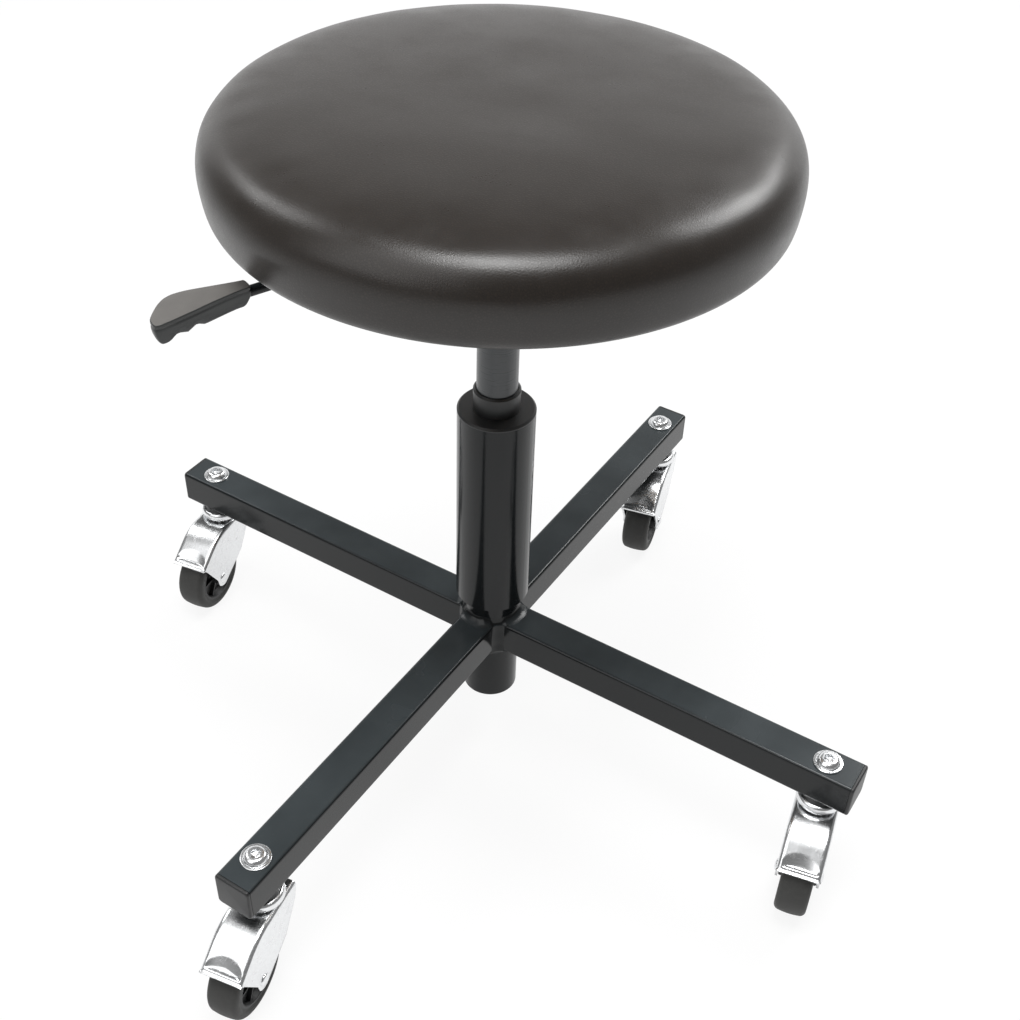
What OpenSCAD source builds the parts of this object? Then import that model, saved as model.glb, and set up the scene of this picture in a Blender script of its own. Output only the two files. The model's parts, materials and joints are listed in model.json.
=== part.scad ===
/* [Base] */
// Radius from the column's axis to each caster bolt
bolt_circle_r = 254; // [220:1:300]
// Side of the square arm tube
arm_side = 25.4; // [22:0.1:30]
// Wall of the arm tube
arm_wall = 1.6; // [1:0.1:2.5]
// Outside corner radius of the arm tube
arm_corner_r = 2.2; // [1:0.1:4]
// Length of arm beyond the caster bolt, plug included
arm_overhang = 22.7; // [20:0.1:40]
// Thickness of the plug's head at the arm end
plug_head_t = 2.5; // [1:0.1:4]
// Depth of the plug's body inside the arm
plug_depth = 11; // [6:0.5:12]
// Wall of the plug's hollow body
plug_wall = 2; // [1:0.1:3]
// Outside diameter of the hub tube
hub_d = 38.1; // [36:0.1:44]
// Wall of the hub tube
hub_wall = 2; // [1:0.1:2.5]
// Length of hub tube below the arms
hub_drop = 47.6; // [30:0.1:52]
// Length of hub tube that reaches up into the column tube
hub_in_column = 26; // [22:0.5:40]
// Leg of the weld beads at the hub
weld_leg = 4; // [2:0.1:6]

/* [Column] */
// Height of bare hub between the arm tops and the column tube
column_gap = 18.2; // [8:0.1:40]
// Outside diameter of the column tube
column_d = 50; // [46:0.1:60]
// Wall of the column tube
column_wall = 2; // [1:0.1:3]
// Length of the column tube, bush flange included
column_len = 155.4; // [130:0.1:220]
// Height of the rings that centre the column tube on the hub
column_ring_h = 8; // [4:0.5:10]
// Thickness of the guide bush's flange on the column's rim
bush_flange_t = 2; // [1:0.1:4]
// Length of the guide bush inside the column tube
bush_len = 60; // [30:1:80]
// Outside diameter of the guide bush's collar
bush_collar_d = 30; // [29:0.1:36]
// Height of the guide bush's collar
bush_collar_h = 15; // [6:0.1:20]
// Chamfer on the collar and the flange
bush_chamfer = 1.2; // [0.4:0.1:1.8]

/* [Gas lift] */
// Travel of the seat
lift_stroke = 100; // [60:1:120]
// Outside diameter of the gas cylinder
cylinder_d = 26; // [24:0.1:28]
// Wall of the gas cylinder
cylinder_wall = 2; // [1:0.1:2.5]
// Length of the solid head at the cylinder's top
cylinder_head_h = 26; // [22:0.5:40]
// Narrowing of the cylinder's radius over its tapered head
taper_drop = 0.4; // [0.1:0.05:0.8]
// Length of the guide and seal at the cylinder's foot
rod_guide_h = 12; // [8:0.5:20]
// Diameter of the piston rod
rod_d = 10; // [8:0.1:11]
// Length of the piston
piston_h = 12; // [8:0.5:20]
// Diameter of the release button
button_d = 8; // [6:0.1:9]
// Length of the release button that stands out of the cylinder
button_proud = 4; // [4:0.1:8]
// Length of the release button inside the cylinder head
button_in = 12; // [8:0.5:14]
// Travel of the release button
button_travel = 3.5; // [2:0.1:4]
// Thickness of the plate across the hub's foot
foot_plate_t = 3; // [2:0.1:5]
// Distance of the foot plate above the hub's lower end
foot_plate_inset = 2.4; // [2:0.1:4]
// Thickness of the rod's retaining clip
clip_t = 1.2; // [0.8:0.1:1.4]
// Diameter of the rod's retaining clip
clip_d = 16; // [14:0.1:20]
// Depth of the clip's groove in the rod
clip_groove = 0.8; // [0.4:0.1:1.2]
// Thickness of each race of the thrust bearing
race_t = 2; // [1.5:0.1:3]
// Outside diameter of the thrust bearing
race_d = 24; // [22:0.1:26]
// Diameter of the bearing balls
ball_d = 3; // [2.4:0.1:3.2]
// Number of balls in the thrust bearing
thrust_balls = 10; // [6:1:14]
// Height of the rubber bumper on the rod
bumper_h = 12; // [6:0.5:16]
// Diameter of the rubber bumper
bumper_d = 22; // [18:0.1:26]

/* [Seat plate and lever] */
// Thickness of the pressed seat plate
plate_t = 2.5; // [1.5:0.1:3]
// Length of the seat plate along the lever
plate_len = 180; // [170:1:190]
// Width of the seat plate
plate_w = 130; // [124:1:136]
// Corner radius of the seat plate
plate_corner_r = 12; // [4:0.5:20]
// Distance of the seat bolts from the seat plate's edges
bolt_edge = 15; // [12:0.5:20]
// Length of the plate's pressed pan
pan_len = 104; // [100:1:110]
// Width of the plate's pressed pan
pan_w = 64; // [58:1:70]
// Offset of the pan's middle from the column's axis, towards the lever
pan_shift = 10; // [8:0.5:14]
// Depth of the pan below the plate's flange
pan_depth = 23; // [20:0.1:28]
// Outside diameter of the socket that grips the cylinder
socket_d = 36; // [34:0.1:44]
// Length of the socket below the pan
socket_h = 8.7; // [8:0.1:20]
// Direction of the lever, in degrees from the +X arm
lever_angle = 247; // [0:0.5:359]
// Distance of the lever's pivot from the column's axis
lever_pivot_r = 50; // [46:0.5:52]
// Free play between the lever and the release button
lever_play = 0.1; // [0.1:0.05:0.5]
// Diameter of the lever rod
lever_rod_d = 6; // [5:0.1:7]
// Diameter of the lever's pivot pin
pivot_d = 5; // [4:0.1:5.5]
// Diameter of the lever's pivot boss
pivot_boss_d = 11; // [10:0.1:12]
// Width of the lever's pivot boss
pivot_boss_w = 14; // [8:0.5:30]
// Radius at which the lever paddle starts
paddle_start_r = 156; // [140:0.5:160]
// Length of the lever paddle
paddle_len = 57; // [50:0.5:80]
// Width of the lever paddle
paddle_w = 24; // [20:0.5:30]
// Thickness of the lever paddle
paddle_t = 12; // [11:0.1:14]
// Thickness of the paddle at its inner end
paddle_neck_t = 10; // [8:0.1:11]
// Depth of the paddle's finger grips
grip_depth = 2; // [1:0.1:4]
// Number of finger grips
grip_count = 2; // [1:1:4]
// Spacing of the finger grips
grip_space = 11; // [8:0.5:12]
// Distance of the last finger grip's middle from the paddle's tip
grip_from_tip = 12.5; // [10:0.5:16]

/* [Cushion] */
// Diameter of the finished seat
seat_d = 330; // [320:1:380]
// Height of the cushion at its edge
cushion_h = 49.5; // [48:0.5:70]
// Rise of the crown above the cushion's edge
crown_h = 4; // [2:0.1:8]
// Radius of the cushion's upper edge
crown_edge_r = 24; // [16:0.5:30]
// Radius of the cushion's lower edge
tuck_edge_r = 11; // [9:0.5:14]
// Inward pull of the cushion at its foot
tuck_in = 3; // [0:0.1:5]
// Thickness of the vinyl cover
cover_t = 1.2; // [0.8:0.1:1.6]
// Clear distance between the seat plate's corners and the cover turned under the board
cover_clear = 13.7; // [8:0.1:18]
// Distance of the plywood seat board's edge inside the cushion's foot
board_setback = 1; // [0.5:0.5:6]
// Thickness of the plywood seat board
board_t = 12; // [10:0.5:15]
// Number of staples that hold the cover
staple_count = 30; // [20:1:40]
// Width of a staple
staple_w = 10; // [6:0.5:12]
// Thickness of the staple wire
staple_t = 0.8; // [0.5:0.1:1.2]
// Length of a staple's legs
staple_leg = 6; // [4:0.5:8]
// Diameter of the seat bolts
seat_bolt_d = 6; // [5:0.1:6.5]
// Width across the flats of the seat bolts
seat_bolt_af = 10; // [9:0.5:11]
// Height of the seat bolt heads
seat_bolt_head_h = 4; // [3:0.1:5]
// Diameter of the tee nuts' flanges
tee_flange_d = 19; // [16:0.5:22]
// Thickness of the tee nuts' flanges
tee_flange_t = 1.5; // [1:0.1:2]

/* [Casters] */
// Diameter of the caster wheels
wheel_d = 56; // [52:0.5:58]
// Width of the tyres
tyre_w = 21; // [18:0.1:22]
// Depth of the tyre on the wheel's core
tyre_depth = 8; // [4:0.5:10]
// Radius of the tyre's shoulders
tyre_edge_r = 4; // [2:0.1:6]
// Distance of the wheel's axle behind the swivel axis
caster_trail = 28.5; // [27:0.5:31]
// Diameter of the wheel axles
axle_d = 6; // [5:0.1:8]
// Diameter of the axle heads
axle_head_d = 11; // [9:0.1:13]
// Thickness of the axle heads
axle_head_t = 2; // [1:0.1:3]
// Outside width of the caster hoods
hood_w = 29; // [28:0.1:34]
// Wall of the caster hoods
hood_wall = 1.6; // [1.2:0.1:1.8]
// Height of the hood's top above the wheel
hood_rise = 14; // [12.5:0.5:18]
// Reach of the hood behind the swivel axis
hood_back = 16; // [15:0.5:18]
// Radius of the hood's ears around the axle
hood_ear_r = 7.2; // [7:0.1:10]
// Reach of the hood's roof beyond the axle
hood_front = 20.5; // [19:0.5:24]
// Length of the flat top of the hood in front of the swivel axis
hood_flat = 16; // [15:0.5:18]
// Radius of the bend in the hood's roof
hood_bend_r = 35; // [28:0.5:40]
// Slope of the hood's roof in degrees
hood_slope = 35; // [30:1:38]
// Turned out lip at the roof's lower edge
hood_lip = 2.5; // [1:0.1:4]
// Angle of the front caster, in degrees from the +X arm
caster_angle_front = -80; // [-180:1:180]
// Angle of the right caster, in degrees from the +X arm
caster_angle_right = -78; // [-180:1:180]
// Angle of the rear caster, in degrees from the +X arm
caster_angle_rear = -77; // [-180:1:180]
// Angle of the left caster, in degrees from the +X arm
caster_angle_left = -81; // [-180:1:180]
// Diameter of the caster bolts
king_d = 10; // [8:0.1:10.4]
// Diameter of the caster bolts' flanged heads
king_head_d = 19; // [16:0.5:22]
// Height of the caster bolts' heads
king_head_h = 4.6; // [4:0.1:7]
// Thickness of the flange under the caster bolts' heads
king_flange_t = 1.2; // [0.8:0.1:2]
// Width across the flats of the socket in the caster bolts
king_socket_af = 6; // [4:0.1:7]
// Depth of the socket in the caster bolts
king_socket_depth = 3; // [2:0.1:3.5]
// Width across the flats of the caster bolts' nuts
king_nut_af = 16; // [14:0.5:17]
// Height of the caster bolts' nuts
king_nut_h = 7; // [5:0.5:8]
// Thickness of the bearing washers above the nuts
king_washer_t = 1.6; // [1:0.1:2]
// Diameter of the upper swivel cups
cup_d = 30; // [28:0.1:32]
// Height of the upper swivel cups
cup_h = 5.2; // [4:0.1:7]
// Air gap between each cup and its hood
cup_gap = 2; // [1.8:0.1:2.2]
// Diameter of the spacers between cups and arms
spacer_d = 24; // [20:0.1:25]
// Height of the spacers between cups and arms
spacer_h = 4; // [2:0.1:10]
// Number of balls in each caster swivel
swivel_balls = 12; // [8:1:18]

/* [Hidden] */
$fn = 64;
// Running clearance of turning and sliding fits, on the radius
run_fit = 0.05;
// Clearance of parts that pass through holes, on the radius
hole_fit = 0.3;
// Air between parts that lie close and move
air = 0.3;
// Gap left at stops, shoulders and blind ends
stop_gap = 1;
// Wall of the tee nuts' barrels
tee_wall = 1;
// Overrun of every cut
over = 1;

wheel_r = wheel_d / 2;
hood_top = wheel_d + hood_rise;
cup_bottom = hood_top + cup_gap;
spacer_bottom = cup_bottom + cup_h;
arm_bottom = spacer_bottom + spacer_h;
arm_top = arm_bottom + arm_side;
arm_end_r = bolt_circle_r + arm_overhang;

hub_r = hub_d / 2;
hub_bore_r = hub_r - hub_wall;
hub_bottom = arm_bottom - hub_drop;
column_bottom = arm_top + column_gap;
hub_top = column_bottom + hub_in_column;
column_top = column_bottom + column_len;
tube_top = column_top - bush_flange_t;
column_bore_r = column_d / 2 - column_wall;
collar_top = column_top + bush_collar_h;

plate_bottom = hub_bottom + foot_plate_inset;
lower_race_z = plate_bottom + foot_plate_t;
ball_r = ball_d / 2;
ball_bed = 0.1 * ball_d;
ball_z = lower_race_z + race_t + ball_r - ball_bed;
upper_race_z = ball_z + ball_r - ball_bed;
race_pitch_r = (race_d / 2 + rod_d / 2) / 2;
bumper_z = upper_race_z + race_t;
bumper_top = bumper_z + bumper_h;
rod_bottom = hub_bottom + air;
clip_z = plate_bottom - air - clip_t;

cylinder_r = cylinder_d / 2;
cylinder_bore_r = cylinder_r - cylinder_wall;
cylinder_bottom = bumper_top + lift_stroke + stop_gap;
piston_z = cylinder_bottom + rod_guide_h + stop_gap;
rod_top = piston_z + piston_h;
socket_bottom = collar_top + lift_stroke + stop_gap;
pan_bottom = socket_bottom + socket_h;
pan_floor = pan_bottom + plate_t;
cylinder_top = pan_floor + stop_gap;
head_bottom = cylinder_top - cylinder_head_h;
button_top = cylinder_top + button_proud;
lever_z = button_top + lever_rod_d / 2 + lever_play;
flange_bottom = pan_bottom + pan_depth;
board_bottom = flange_bottom + plate_t;
board_top = board_bottom + board_t;
cushion_bottom = board_bottom - cover_t;
cushion_edge = cushion_bottom + cushion_h;
seat_r = seat_d / 2;
foot_r = seat_r - tuck_in - tuck_edge_r;
board_r = foot_r - board_setback;
plate_corner = [plate_len / 2 - plate_corner_r, plate_w / 2 - plate_corner_r];
cover_turn_r = norm(plate_corner) + plate_corner_r + cover_clear;
staple_ring_r = (board_r + cover_turn_r) / 2;
tee_barrel_r = seat_bolt_d / 2 + tee_wall;

caster_angles = [caster_angle_right, caster_angle_rear, caster_angle_left, caster_angle_front];
hood_inner_w = hood_w - 2 * hood_wall;
core_r = wheel_r - tyre_depth;
swivel_pitch_r = (cup_d / 2 + king_d / 2) / 2;
swivel_ball_z = hood_top + cup_gap / 2;
washer_z = hood_top - hood_wall - air - king_washer_t;
nut_z = washer_z - king_nut_h;

hood_reach = caster_trail + hood_front;
hood_head = hood_top - wheel_r;

// Steps in each rounded stretch of an outline
arc_steps = 8;
// Degrees of the cushion's upper edge, from its side up to its crown
crown_turn = 84;
// Degrees of each of the tyre's shoulders, from its tread to its side
shoulder_turn = 75;

// Lower edge of the hood behind the axle, as shares of its reach and of its rise over the axle
back_shares = [[0.05, 0.2], [-0.85, 0.69], [-1, 0.93]];
// Ends of the hood's ear under the axle, as shares of the ear's radius
ear_shares = [[0.94, 0.34], [-0.6, -0.8]];

// Outline of the cushion's top, as shares of the seat's radius and of the crown's rise
dome_shares = [[0, 1], [0.3, 1], [0.5, 0.9], [0.66, 0.66], [0.78, 0.32]];

// Outline of the lever paddle, as shares of its length and width
paddle_shares = [[0, 0.17], [0.12, 0.18], [0.53, 0.41], [0.93, 0.59], [0.99, 0.56], [1, 0.46],
    [0.99, 0.26], [0.93, 0.06], [0.84, -0.18], [0.76, -0.33], [0.67, -0.4], [0.55, -0.39],
    [0.39, -0.31], [0.04, -0.18], [0, -0.17]];

// Points on an arc, in degrees from the first axis
function arc(centre, r, from, to, steps) =
    [for (i = [0 : steps]) let (a = from + (to - from) * i / steps) centre + r * [cos(a), sin(a)]];

// The cushion's outline from the axis to its foot, drawn in by a depth
function cushion_outline(depth) = concat(
    [for (s = dome_shares) [s[0] * seat_r, cushion_edge - depth + s[1] * crown_h]],
    arc([seat_r - crown_edge_r, cushion_edge - crown_edge_r], crown_edge_r - depth, crown_turn, 0, arc_steps),
    arc([foot_r, cushion_bottom + tuck_edge_r], tuck_edge_r - depth, 0, -90, arc_steps));

// The hood's roof from the flat top to its lower edge, drawn in by a depth
function roof(depth) =
    let (centre = [hood_flat, hood_top - hood_bend_r],
        bend = arc(centre, hood_bend_r - depth, 90, 90 - hood_slope, arc_steps),
        end = bend[arc_steps])
    concat(bend, [[hood_reach, end[1] - (hood_reach - end[0]) * tan(hood_slope)]]);

module tube(r, wall, from, to) {
    difference() {
        translate([0, 0, from]) cylinder(r = r, h = to - from);
        translate([0, 0, from - over]) cylinder(r = r - wall, h = to - from + 2 * over);
    }
}

module ring(r_in, r_out, from, to) {
    difference() {
        translate([0, 0, from]) cylinder(r = r_out, h = to - from);
        translate([0, 0, from - over]) cylinder(r = r_in, h = to - from + 2 * over);
    }
}

module rounded_square(side, r) {
    union() {
        square([side, side - 2 * r], center = true);
        square([side - 2 * r, side], center = true);
        for (x = [-1, 1], y = [-1, 1]) translate([x * (side / 2 - r), y * (side / 2 - r)]) circle(r = r);
    }
}

module rounded_plate(length, width, r, from, to) {
    translate([0, 0, from]) linear_extrude(to - from) union() {
        square([length, width - 2 * r], center = true);
        square([length - 2 * r, width], center = true);
        for (x = [-1, 1], y = [-1, 1]) translate([x * (length / 2 - r), y * (width / 2 - r)]) circle(r = r);
    }
}

module groove(pitch_r, z) {
    rotate_extrude() translate([pitch_r, z]) circle(r = ball_r + run_fit);
}

module balls(count, pitch_r, z) {
    for (i = [0 : count - 1]) rotate([0, 0, i * 360 / count]) translate([pitch_r, 0, z]) sphere(r = ball_r);
}

// A hexagonal prism by its width across the flats
module hexagon(across, h) {
    cylinder(r = across / sqrt(3), h = h, $fn = 6);
}

module each_arm() {
    for (k = [0 : 3]) rotate([0, 0, 90 * k]) children();
}

module each_bolt() {
    each_arm() translate([bolt_circle_r, 0, 0]) children();
}

// Places a caster's parts: swivel axis at the origin, wheel towards +X
module at_caster(k) {
    rotate([0, 0, 90 * k]) translate([bolt_circle_r, 0, 0])
        rotate([0, 0, caster_angles[k] - 90 * k]) children();
}

// Places what turns with the lever's direction
module at_lever() {
    rotate([0, 0, lever_angle]) children();
}

module seat_bolt_places() {
    for (x = [-1, 1], y = [-1, 1])
        translate([x * (plate_len / 2 - bolt_edge), y * (plate_w / 2 - bolt_edge), 0]) children();
}

module base_hub() {
    color("#2f3234") tube(hub_r, hub_wall, hub_bottom, hub_top);
}

module base_arm(k) {
    color("#2f3234") rotate([0, 0, 90 * k]) difference() {
        intersection() {
            translate([0, 0, arm_bottom + arm_side / 2]) rotate([90, 0, 90])
                linear_extrude(arm_end_r - plug_head_t) rounded_square(arm_side, arm_corner_r);
            translate([0, 0, arm_bottom - over]) linear_extrude(arm_side + 2 * over)
                polygon([[0, 0], [arm_end_r, -arm_end_r], [arm_end_r, arm_end_r]]);
        }
        translate([0, 0, arm_bottom + arm_side / 2]) rotate([90, 0, 90])
            linear_extrude(arm_end_r + over) rounded_square(arm_side - 2 * arm_wall, arm_corner_r / 2);
        translate([0, 0, arm_bottom - over]) cylinder(r = hub_r, h = arm_side + 2 * over);
        translate([bolt_circle_r, 0, arm_bottom - over])
            cylinder(r = king_d / 2 + hole_fit, h = arm_side + 2 * over);
    }
}

module arm_end_plugs() {
    head_r = arm_end_r - plug_head_t;
    bore = arm_side - 2 * arm_wall;
    middle = arm_bottom + arm_side / 2;
    color("#1c1d1e") each_arm() translate([0, 0, middle]) rotate([90, 0, 90]) difference() {
        union() {
            translate([0, 0, head_r]) linear_extrude(plug_head_t) rounded_square(arm_side, arm_corner_r);
            translate([0, 0, head_r - plug_depth]) linear_extrude(plug_depth + plug_head_t / 2)
                rounded_square(bore - 2 * run_fit, arm_corner_r / 2);
        }
        translate([0, 0, head_r - plug_depth - over]) linear_extrude(plug_depth + over)
            square(bore - 2 * plug_wall, center = true);
    }
}

module weld_beads() {
    half = arm_side / 2;
    flat = arm_side - 2 * arm_corner_r;
    bead = [[0, 0], [weld_leg, 0], [0, weld_leg]];
    color("#35383a") each_arm() difference() {
        union() {
            intersection() {
                union() {
                    rotate_extrude() translate([hub_r, arm_top]) polygon(bead);
                    rotate_extrude() translate([hub_r, arm_bottom]) mirror([0, 1]) polygon(bead);
                }
                translate([0, -flat / 2, arm_bottom - weld_leg])
                    cube([hub_d, flat, arm_side + 2 * weld_leg]);
            }
            translate([half, half, arm_bottom + arm_corner_r]) linear_extrude(flat) polygon(bead);
        }
        translate([0, 0, arm_bottom - hub_r]) cylinder(r = hub_r, h = arm_side + hub_d);
    }
}

module column_tube() {
    color("#2f3234") tube(column_d / 2, column_wall, column_bottom, tube_top);
}

module column_rings() {
    color("#4a4d50") for (z = [column_bottom + stop_gap, hub_top - column_ring_h - stop_gap])
        ring(hub_r, column_bore_r, z, z + column_ring_h);
}

module guide_bush() {
    flange_r = column_d / 2;
    collar_r = bush_collar_d / 2;
    bore_r = cylinder_r + run_fit;
    color("#18191a") rotate_extrude() polygon([
        [bore_r, tube_top - bush_len], [column_bore_r, tube_top - bush_len], [column_bore_r, tube_top],
        [flange_r, tube_top], [flange_r, column_top - bush_chamfer], [flange_r - bush_chamfer, column_top],
        [collar_r, column_top], [collar_r, collar_top - bush_chamfer], [collar_r - bush_chamfer, collar_top],
        [bore_r, collar_top]]);
}

module foot_plate() {
    color("#9a9c9e") ring(rod_d / 2 + run_fit, hub_bore_r, plate_bottom, plate_bottom + foot_plate_t);
}

module lower_race() {
    color("#c4c6c8") difference() {
        ring(rod_d / 2 + hole_fit, race_d / 2, lower_race_z, lower_race_z + race_t);
        groove(race_pitch_r, ball_z);
    }
}

module bearing_balls() {
    color("#d8dadc") balls(thrust_balls, race_pitch_r, ball_z);
}

module caster_bolts() {
    flange_r = king_head_d / 2;
    dome_r = 0.78 * flange_r;
    flat_r = 0.5 * flange_r;
    bevel = king_flange_t / 2;
    shank_end = nut_z - stop_gap;
    color("#c9cbcd") each_bolt() difference() {
        union() {
            translate([0, 0, arm_top]) rotate_extrude() polygon([[0, 0], [flange_r, 0], [flange_r, bevel],
                [flange_r - bevel, king_flange_t], [dome_r, king_flange_t],
                [(dome_r + flat_r) / 2, 0.78 * king_head_h], [flat_r, king_head_h], [0, king_head_h]]);
            translate([0, 0, shank_end]) cylinder(r = king_d / 2, h = arm_top - shank_end + bevel);
        }
        translate([0, 0, arm_top + king_head_h - king_socket_depth])
            hexagon(king_socket_af, king_socket_depth + over);
    }
}

module caster_spacers() {
    color("#1c1d1e") each_bolt() ring(king_d / 2 + hole_fit, spacer_d / 2, spacer_bottom, arm_bottom);
}

module swivel_cups() {
    color("#c9cbcd") each_bolt() difference() {
        ring(king_d / 2 + hole_fit, cup_d / 2, cup_bottom, spacer_bottom);
        groove(swivel_pitch_r, swivel_ball_z);
    }
}

module swivel_ball_rings() {
    color("#d8dadc") each_bolt() balls(swivel_balls, swivel_pitch_r, swivel_ball_z);
}

module caster_washers() {
    color("#c9cbcd") each_bolt()
        ring(king_d / 2 + hole_fit, king_nut_af / 2, washer_z, washer_z + king_washer_t);
}

module caster_nuts() {
    color("#c9cbcd") each_bolt() difference() {
        translate([0, 0, nut_z]) hexagon(king_nut_af, king_nut_h);
        translate([0, 0, nut_z - over]) cylinder(r = king_d / 2, h = king_nut_h + 2 * over);
    }
}

module piston_rod() {
    color("#c9cbcd") difference() {
        translate([0, 0, rod_bottom]) cylinder(r = rod_d / 2, h = rod_top - rod_bottom);
        ring(rod_d / 2 - clip_groove, rod_d / 2 + over, clip_z, clip_z + clip_t);
    }
}

module piston() {
    color("#8f9294") ring(rod_d / 2, cylinder_bore_r - run_fit, piston_z, rod_top);
}

module rod_clip() {
    slot = rod_d - 2 * clip_groove;
    color("#8f9294") difference() {
        ring(rod_d / 2 - clip_groove, clip_d / 2, clip_z, clip_z + clip_t);
        translate([0, -slot / 2, clip_z - over]) cube([clip_d, slot, clip_t + 2 * over]);
    }
}

module upper_race() {
    color("#c4c6c8") difference() {
        ring(rod_d / 2, race_d / 2, upper_race_z, upper_race_z + race_t);
        groove(race_pitch_r, ball_z);
    }
}

module rubber_bumper() {
    color("#202122") ring(rod_d / 2, bumper_d / 2, bumper_z, bumper_top);
}

// The tapered head of the gas cylinder, which fills the socket
module cylinder_head() {
    translate([0, 0, head_bottom])
        cylinder(r1 = cylinder_r, r2 = cylinder_r - taper_drop, h = cylinder_head_h);
}

module gas_cylinder() {
    button_floor = cylinder_top - button_in - button_travel - stop_gap;
    color("#34373a") difference() {
        union() {
            translate([0, 0, cylinder_bottom]) cylinder(r = cylinder_r, h = head_bottom - cylinder_bottom);
            cylinder_head();
        }
        translate([0, 0, cylinder_bottom - over])
            cylinder(r = cylinder_bore_r, h = head_bottom - cylinder_bottom + over);
        translate([0, 0, button_floor])
            cylinder(r = button_d / 2 + run_fit, h = cylinder_top - button_floor + over);
    }
}

module rod_guide() {
    color("#1c1d1e")
        ring(rod_d / 2 + run_fit, cylinder_bore_r, cylinder_bottom, cylinder_bottom + rod_guide_h);
}

module cylinder_socket() {
    color("#2f3234") difference() {
        translate([0, 0, socket_bottom]) cylinder(r = socket_d / 2, h = socket_h);
        cylinder_head();
    }
}

module seat_plate() {
    pan_end = pan_shift + pan_len / 2;
    lift = asin(button_travel / lever_pivot_r);
    slot_bottom = lever_z - lever_rod_d / 2 - air;
    slot_top = lever_z + lever_rod_d / 2 + (pan_end - lever_pivot_r) * tan(lift) + 2 * air;
    color("#2f3234") at_lever() difference() {
        union() {
            rounded_plate(plate_len, plate_w, plate_corner_r, flange_bottom, board_bottom);
            translate([pan_shift, 0, 0])
                rounded_plate(pan_len, pan_w, plate_corner_r / 2, pan_bottom, flange_bottom + plate_t / 2);
        }
        translate([pan_shift, 0, 0]) rounded_plate(pan_len - 2 * plate_t, pan_w - 2 * plate_t,
            plate_corner_r / 4, pan_floor, board_bottom + over);
        cylinder_head();
        seat_bolt_places() translate([0, 0, flange_bottom - over])
            cylinder(r = seat_bolt_d / 2 + hole_fit, h = plate_t + 2 * over);
        translate([lever_pivot_r, 0, lever_z]) rotate([90, 0, 0])
            cylinder(r = pivot_d / 2, h = pan_w + 2 * over, center = true);
        translate([pan_end - plate_t - over, -lever_rod_d / 2 - over, slot_bottom])
            cube([plate_t + 2 * over, lever_rod_d + 2 * over, slot_top - slot_bottom]);
    }
}

module seat_bolts() {
    color("#b4b6b8") at_lever() seat_bolt_places() union() {
        translate([0, 0, flange_bottom - seat_bolt_head_h]) hexagon(seat_bolt_af, seat_bolt_head_h);
        translate([0, 0, flange_bottom - over])
            cylinder(r = seat_bolt_d / 2, h = plate_t + board_t - tee_flange_t + over);
    }
}

module tee_nuts() {
    color("#b4b6b8") at_lever() seat_bolt_places() translate([0, 0, board_top]) difference() {
        union() {
            cylinder(r = tee_flange_d / 2, h = tee_flange_t);
            translate([0, 0, -board_t / 2]) cylinder(r = tee_barrel_r, h = board_t / 2 + tee_flange_t / 2);
        }
        translate([0, 0, -board_t]) cylinder(r = seat_bolt_d / 2, h = board_t + tee_flange_t + over);
    }
}

module seat_board() {
    color("#b58a58") difference() {
        translate([0, 0, board_bottom]) cylinder(r = board_r, h = board_t);
        at_lever() seat_bolt_places() translate([0, 0, board_bottom - over])
            cylinder(r = tee_barrel_r, h = board_t + 2 * over);
    }
}

module foam_pad() {
    side_r = board_r + air;
    color("#d9cf9a") difference() {
        rotate_extrude() polygon(concat([[0, board_top]], cushion_outline(cover_t + air),
            [[side_r, board_bottom + air], [side_r, board_top]]));
        at_lever() seat_bolt_places() translate([0, 0, board_top - over])
            cylinder(r = tee_flange_d / 2 + air, h = over + tee_flange_t + air);
    }
}

module vinyl_cover() {
    inner = cushion_outline(cover_t);
    last = len(inner) - 1;
    turned = [[cover_turn_r, cushion_bottom], [cover_turn_r, board_bottom]];
    color("#2b2a29") rotate_extrude() polygon(concat(cushion_outline(0), turned,
        [for (i = [last : -1 : 0]) inner[i]]));
}

module cover_staples() {
    half = staple_w / 2;
    color("#a8aaac") for (i = [0 : staple_count - 1]) rotate([0, 0, i * 360 / staple_count])
        translate([staple_ring_r, 0, cushion_bottom]) union() {
            translate([-staple_t / 2, -half, -staple_t]) cube([staple_t, staple_w, staple_t]);
            for (y = [-half, half - staple_t]) translate([-staple_t / 2, y, -staple_t / 2])
                cube([staple_t, staple_t, staple_leg]);
        }
}

module lever_pivot_pin() {
    color("#9a9c9e") at_lever() translate([lever_pivot_r, 0, lever_z]) rotate([90, 0, 0])
        cylinder(r = pivot_d / 2, h = pan_w + 2 * plate_t, center = true);
}

module lever_rod() {
    inner_end = -button_d / 2;
    color("#2a2c2e") at_lever() difference() {
        union() {
            translate([inner_end, 0, lever_z]) rotate([0, 90, 0])
                cylinder(r = lever_rod_d / 2, h = paddle_start_r + paddle_len / 2 - inner_end);
            translate([lever_pivot_r, 0, lever_z]) rotate([90, 0, 0])
                cylinder(r = pivot_boss_d / 2, h = pivot_boss_w, center = true);
        }
        translate([lever_pivot_r, 0, lever_z]) rotate([90, 0, 0])
            cylinder(r = pivot_d / 2 + run_fit, h = pan_w, center = true);
    }
}

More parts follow.
